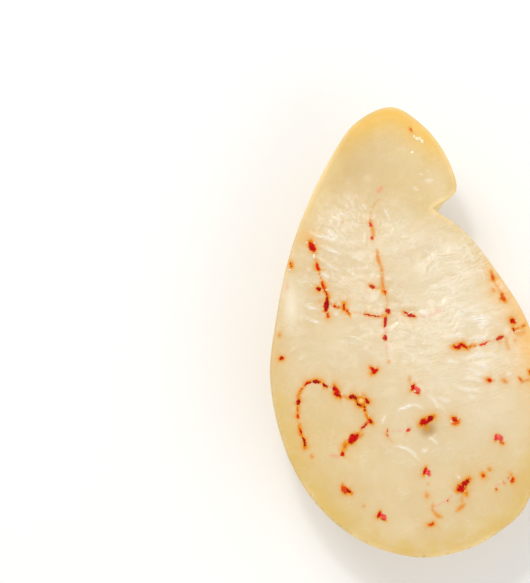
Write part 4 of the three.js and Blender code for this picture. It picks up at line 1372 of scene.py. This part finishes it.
def torn_coats(at, edge, mottle, torn, across, along):
    """Tints of the torn curd: painted shade in dips, paler ridges with a painted highlight, and a painted wet
    sheen on film, strokes and tufts.
    """
    fold = streaks(at.tree, across / 2.4, along / 16.0, 17.0)
    # Painted shade in the dips between the folds.
    yield (0.47 - fold).smooth(0.0, 0.14) * torn * 0.16, DIP_SHADE_TAN
    # Paler curd on the fold ridges, with a painted highlight.
    yield (fold.crest(0.54, 9) * torn * 0.42).at_most(0.5), RIDGE_HIGHLIGHT_WHITE
    curl = vector_math(at.tree, "ADD", at.vector, scaled(at.tree, drift(at.tree, at.vector, 0.13), 11.0))
    wisp = noise(at.tree, curl, 0.24, 1.2)
    film = wisp.smooth(0.51, 0.64) * 0.9 + wisp.crest(0.42, 13) * 0.35
    sweep = (at.y - at.x * 0.2) / 1.4 + at.ripple(0.035, 1.0) * 9
    stroke = streaks(at.tree, sweep, at.x / 10.0, 23.0)
    swept = at.x.smooth(2.0, 18.0) * edge.smooth(2.0, 11.0)
    film = film * (1 - swept * 0.45) + stroke.crest(0.52, 8) * swept * 0.85
    turned = (at.y - TUFT_MIDDLE[1]).angle_to(at.x - TUFT_MIDDLE[0])
    tuft = streaks(at.tree, turned * 20 + mottle * 3, at.away(TUFT_MIDDLE) / 2.6, 31.0).smooth(0.5, 0.66)
    napped = at.patch(*NAPE_TUFTS) + at.patch(*NECK_TUFTS)
    glare = at.patch(*RIM_GLARE) + at.patch(*HEAD_GLARE)
    glare = glare + tuft * napped * (at.noise(0.2).smooth(0.3, 0.6) * 0.35 + 0.15)
    # Painted wet sheen and glare, over whitish tufts of curd.
    yield (film * torn * 0.46 + glare).at_most(0.7), WET_SHEEN_WHITE


def rim_coats(at, edge, mottle):
    """Tints along the rim: patchy straw yellow, the pale line of the skin, and brown specks at the very edge
    low down.
    """
    patchy = at.face_noise(40.0, 0.13, 3.0, 0.6).smooth(0.34, 0.62) * 1.1 + 0.35
    straw = edge.smooth(0.0, 2.4) * (edge + mottle * 5).bell(7.0) * (-at.y).smooth(-30.0, 30.0)
    yield straw * 0.55 * patchy, RIM_STRAW
    pale = (at.y.smooth(50.0, 85.0) * 0.42 + 0.06 + mottle * 1.3).at_least(0.0)
    yield (1 - edge.smooth(0.4, 2.4)) * pale, SKIN_YELLOW
    edge_specks = at.noise(0.55, 3.0, 0.65).smooth(0.52, 0.66) * (1 - edge.smooth(0.4, 1.5))
    yield edge_specks * (-at.y).smooth(10.0, 45.0) * 0.5, EDGE_SPECK_BROWN


def paste_material():
    """Moist pale curd: cream in the middle, straw yellow to the rim, stained orange round the chili, with
    painted shade in hollows and dips and a painted sheen where it is torn.
    """
    material, at, shader = new_material("provola_paste")
    tree = at.tree
    edge = stored(tree, "edge")
    mottle = at.ripple(0.07, 3.0, 0.6)
    across, along = strand_place(at)
    torn = torn_zone(at)
    # Painted shade round the pit by the dark flake.
    painted_pit_shade = hypot(at.x - PIT_SPOT[0], at.y - PIT_SPOT[1] - PIT_SHADE_RISE).bell(PIT_REACH * 1.25) * 0.72
    oil = stored(tree, "oil").smooth(0.0, 0.8) * 0.9
    blush = stored(tree, "blush").smooth(0.02, 0.7) * (at.noise(0.9).smooth(0.3, 0.65) * 0.5 + 0.2)
    seam_colour = layered(tree, SEAM_AMBER, (at.noise(0.7).smooth(0.42, 0.66), SEAM_RUST))
    steeped = stored(tree, "seam").smooth(0.0, 0.9) * (at.noise(0.35).smooth(0.3, 0.6) * 0.3 + 0.7)
    colour = layered(
        tree, curd_ground(at, edge, mottle),
        *face_coats(at, edge),
        *torn_coats(at, edge, mottle, torn, across, along),
        *rim_coats(at, edge, mottle),
        # White of the creases; some creases are painted glint streaks.
        (stored(tree, "crease") * 0.55, CREASE_AND_GLINT_WHITE),
        (painted_pit_shade, PIT_SHADE_BROWN),
        (stored(tree, "flush") * 0.85, FLUSH_TAN),
        (oil, OIL_ORANGE),
        (blush, BLUSH_PINK),
        (steeped, seam_colour),
    )
    gloss = at.noise(0.25, 3.0, 0.6).smooth(0.4, 0.7)
    clean = 1 - (steeped + oil * 0.6 + painted_pit_shade).at_most(1.0) * 0.9
    pores = at.noise(0.55, 4.0, 0.65)
    fibre = streaks(tree, across / 1.7, along / 7.0, 5.0)
    finish(tree, shader, {
        "Base Color": colour,
        "Roughness": 0.44 - gloss * 0.16 + painted_pit_shade * 0.4,
        "Specular IOR Level": clean * 0.5,
        "Coat Weight": clean * 0.18,
        "Coat Roughness": 0.18,
        "Subsurface Weight": clean * 0.2,
        "Subsurface Radius": (1.0, 0.55, 0.25),
        "Subsurface Scale": 2.0 * MM,
        "Normal": bump(tree, pores * 0.5 + fibre * torn, 0.5, 0.26),
    })
    return material


def thread_material():
    """White wet threads of curd."""
    material, at, shader = new_material("curd_thread")
    tree = at.tree
    grain = at.noise(0.8, 3.0, 0.6)
    fade = at.noise(0.25).smooth(0.35, 0.62)
    colour = layered(
        tree, THREAD_WHITE,
        (grain, THREAD_CREAM),
        (fade, THREAD_FADED),
        (stored(tree, "veil") * (1 - fade * 0.5), CREST_WHITE),
        (at.y.smooth(78.0, 96.0) * 0.7, HEAD_CREAM),
    )
    finish(tree, shader, {"Base Color": colour, "Roughness": 0.22, "Normal": bump(tree, grain, 0.2, 0.4)})
    return material


def rind_material():
    """Thin waxy rind: straw yellow, with pale bloom and fine scratches, stained round the chili, and painted
    lighter in the shaded notch at the neck.
    """
    material, at, shader = new_material("provola_rind")
    tree = at.tree
    bloom = at.noise(0.09, 3.0, 0.6).smooth(0.42, 0.74)
    scuff = at.noise(0.8, 2.0, 0.55).crest(0.5, 26) * at.noise(0.11).smooth(0.5, 0.66)
    streak = noise(tree, vector_of(tree, at.x * 0.35, at.y * 0.12, at.z * 1.1), 1.6, 3.0, 0.6)
    scratch = streak.crest(0.5, 34) * at.noise(0.09).smooth(0.46, 0.62)
    colour = layered(
        tree, RIND_STRAW,
        (at.noise(0.045, 3.0, 0.6).smooth(0.25, 0.75), RIND_PALE),
        (bloom * 0.12, BLOOM_WHITE),
        (scuff * 0.2, SCUFF_WHITE),
        # Painted light on the yellow rind of the shaded neck notch.
        (at.patch(*NOTCH_PAINTED_LIGHT), NOTCH_LIGHT_GOLD),
        (scratch * 0.55, SCRATCH_WHITE),
        (stored(tree, "flush").smooth(0.0, 0.8) * 0.8, RIND_APRICOT),
        (stored(tree, "oil").smooth(0.05, 0.9) * 0.85, RIND_ORANGE),
        (stored(tree, "seam").smooth(0.15, 0.85) * 0.5, RIND_RUST),
    )
    finish(tree, shader, {
        "Base Color": colour,
        "Roughness": 0.36 + bloom * 0.22,
        "Coat Weight": 0.2,
        "Coat Roughness": 0.28,
        "Subsurface Weight": 0.2,
        "Subsurface Radius": (1.0, 0.5, 0.2),
        "Subsurface Scale": 2.0 * MM,
        "Normal": bump(tree, at.noise(1.2, 4.0, 0.6) + scratch * 0.3, 0.15, 0.6),
    })
    return material


def chili_material():
    """Wet chili skin: dark to bright red, orange where it is thin, pink where paste veils it."""
    material, at, shader = new_material("chili_skin")
    tree = at.tree
    orange = stored(tree, "orange")
    veil = stored(tree, "veil")
    shade = at.noise(0.9, 3.0, 0.6).smooth(0.32, 0.68)
    thin = orange.smooth(0.65, 0.95) * at.noise(0.5, 3.0, 0.6).smooth(0.36, 0.54)
    film = veil * (at.noise(1.3).smooth(0.3, 0.7) + 0.5)
    fringe_colour = layered(
        tree, FRINGE_GOLD,
        (at.noise(1.1).smooth(0.35, 0.65), FRINGE_RUST),
        (veil.smooth(0.1, 0.3) * 0.8, FRINGE_ROSE),
    )
    colour = layered(
        tree, CHILI_DARK,
        (shade * 0.6 + orange * 0.8, CHILI_RED),
        (thin, CHILI_ORANGE),
        (veil.smooth(0.0, 0.45), VEILED_RED),
        (film * 0.45, VEIL_PINK),
        (stored(tree, "fringe"), fringe_colour),
    )
    finish(tree, shader, {
        "Base Color": colour,
        "Roughness": 0.36,
        "Specular IOR Level": 0.07,
        "Normal": bump(tree, at.noise(2.4, 3.0, 0.6), 0.15, 0.6),
    })
    return material


def seed_material():
    """A pale gold seed, browner to its rim."""
    material, at, shader = new_material("chili_seed")
    out = at.away(SEED_SPOT) / SEED_RADIUS
    rim = (out.smooth(0.2, 0.8) + at.ripple(1.2, 3.0, 0.6) * 0.4).at_least(0.0).at_most(1.0)
    colour = layered(at.tree, SEED_GOLD, (rim, SEED_BROWN))
    finish(at.tree, shader, {"Base Color": colour, "Roughness": 0.3, "Specular IOR Level": 0.15})
    return material


def floor_material():
    """Plain pale studio floor."""
    material, at, shader = new_material("studio_floor")
    colour = layered(at.tree, FLOOR_WHITE, (at.noise(0.004), FLOOR_BRIGHT))
    finish(at.tree, shader, {"Base Color": colour, "Roughness": 0.7})
    return material


# The pieces and the scene.
def build():
    """Grows the pieces of the half cheese and puts each on its body."""
    flakes = [*face_lines(FLAKES), *rind_flake_lines(), *rind_bit_lines()]
    strips = line_helper("chili_strips", flakes)
    stains = line_helper("chili_stains", [*flakes, *face_lines(SEAMS), *rind_seam_lines()])
    folds = line_helper("crease_folds", crease_lines())
    lines = line_helper("curd_lines", [*crest_lines(), *thread_lines()])
    spots = line_helper("crumb_spots", crumb_lines())
    outline = outline_curve()

    cheese = grow("half_cheese", half_cheese, (paste_material(), rind_material()), {
        "Outline": outline, "Chili": stains, "Creases": folds,
        "Crease Height": 0.22, "Strand Height": 0.45, "Strand Pitch": 3.0, "Strand Length": 15.0,
        "Fibre Height": 0.2, "Pit Depth": 1.5, "Rind Swell": 0.45, "Oil Reach": 1.0, "Flush Reach": 2.8,
        "Rows": BODY_ROWS + HEAD_ROWS, "Steps": BACK_STEPS + FACE_STEPS,
    })
    chili = grow("chili_pieces", chili_pieces, (chili_material(),), {
        "Strips": strips, "Cheese": cheese, "Step": 0.25, "Grain": 0.19, "Fringe": 0.34, "Ragged": 0.95,
        "Flatness": 0.2, "Proud": -0.03,
    })
    curd = thread_material()
    threads = grow("curd_threads", curd_threads, (curd,), {
        "Lines": lines, "Cheese": cheese, "Step": 0.4, "Flatness": 0.36, "Proud": -0.05,
    })
    crumbs = grow("curd_crumbs", curd_crumbs, (curd,), {
        "Spots": spots, "Cheese": cheese, "Torn": 1.0, "Flatness": 0.4, "Sunk": 0.05,
    })
    seed = chili_seed(seed_material())
    for thing in (strips, stains, folds, lines, spots, outline):
        bpy.data.objects.remove(thing)
    pieces = ((cheese, "cheese"), (threads, "cheese"), (crumbs, "cheese"),
              (chili, "chili"), (seed, "chili_seed"))
    for piece, slot in pieces:
        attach(piece, BODY)
        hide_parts(NODE)


def floor():
    """A wide level floor under the cheese."""
    corners = [(x * FLOOR_REACH, y * FLOOR_REACH, 0) for x, y in ((-1, -1), (1, -1), (1, 1), (-1, 1))]
    mesh = bpy.data.meshes.new("floor")
    mesh.from_pydata(corners, [], [(0, 1, 2, 3)])
    mesh.materials.append(floor_material())
    plane = link(bpy.data.objects.new("floor", mesh))


def lights():
    """Soft round lamps aimed at the cheese, and a white sky."""
    for name, (place, size, watts) in LAMPS.items():
        light = bpy.data.lights.new(name, "AREA")
        light.shape = "DISK"
        light.size = size
        light.energy = watts
        thing = link(bpy.data.objects.new(name, light))
        thing.location = place
        thing.rotation_euler = (Vector(LAMP_AIM) - Vector(place)).to_track_quat("-Z", "Y").to_euler()
    world = bpy.data.worlds.new("studio")
    world.use_nodes = True
    background = world.node_tree.nodes["Background"]
    background.inputs["Color"].default_value = (1.0, 1.0, 1.0, 1.0)
    background.inputs["Strength"].default_value = SKY_STRENGTH
    bpy.context.scene.world = world
    bpy.context.scene.view_settings.view_transform = "Standard"


def camera():
    """Looks down on the cut face, with the cheese where it sits in the picture."""
    away = Vector((*CAMERA_LEAN, 0.0)).normalized()
    tilt = math.radians(CAMERA_TILT_DEG)
    back = away * math.sin(tilt) + Vector((0, 0, 1)) * math.cos(tilt)
    right = Vector((0, 1, 0)).cross(back).normalized()
    up = back.cross(right)
    shift_right = (IMAGE_WIDTH / 2 - ZERO_PIXEL[0]) * PIXEL_MM
    shift_up = (ZERO_PIXEL[1] - IMAGE_HEIGHT / 2) * PIXEL_MM
    middle = Vector((0, 0, CUT_HEIGHT)) + right * shift_right + up * shift_up
    lens = bpy.data.cameras.new("camera")
    lens.sensor_fit = "VERTICAL"
    lens.sensor_height = SENSOR_MM
    lens.lens = SENSOR_MM * CAMERA_DISTANCE_MM / (IMAGE_HEIGHT * PIXEL_MM)
    lens.clip_end = CLIP_END
    eye = link(bpy.data.objects.new("camera", lens))
    turn = Matrix((right, up, back)).transposed().to_4x4()
    eye.matrix_world = Matrix.Translation((middle + back * CAMERA_DISTANCE_MM) * MM) @ turn
    bpy.context.scene.camera = eye


build()
floor()
lights()
camera()
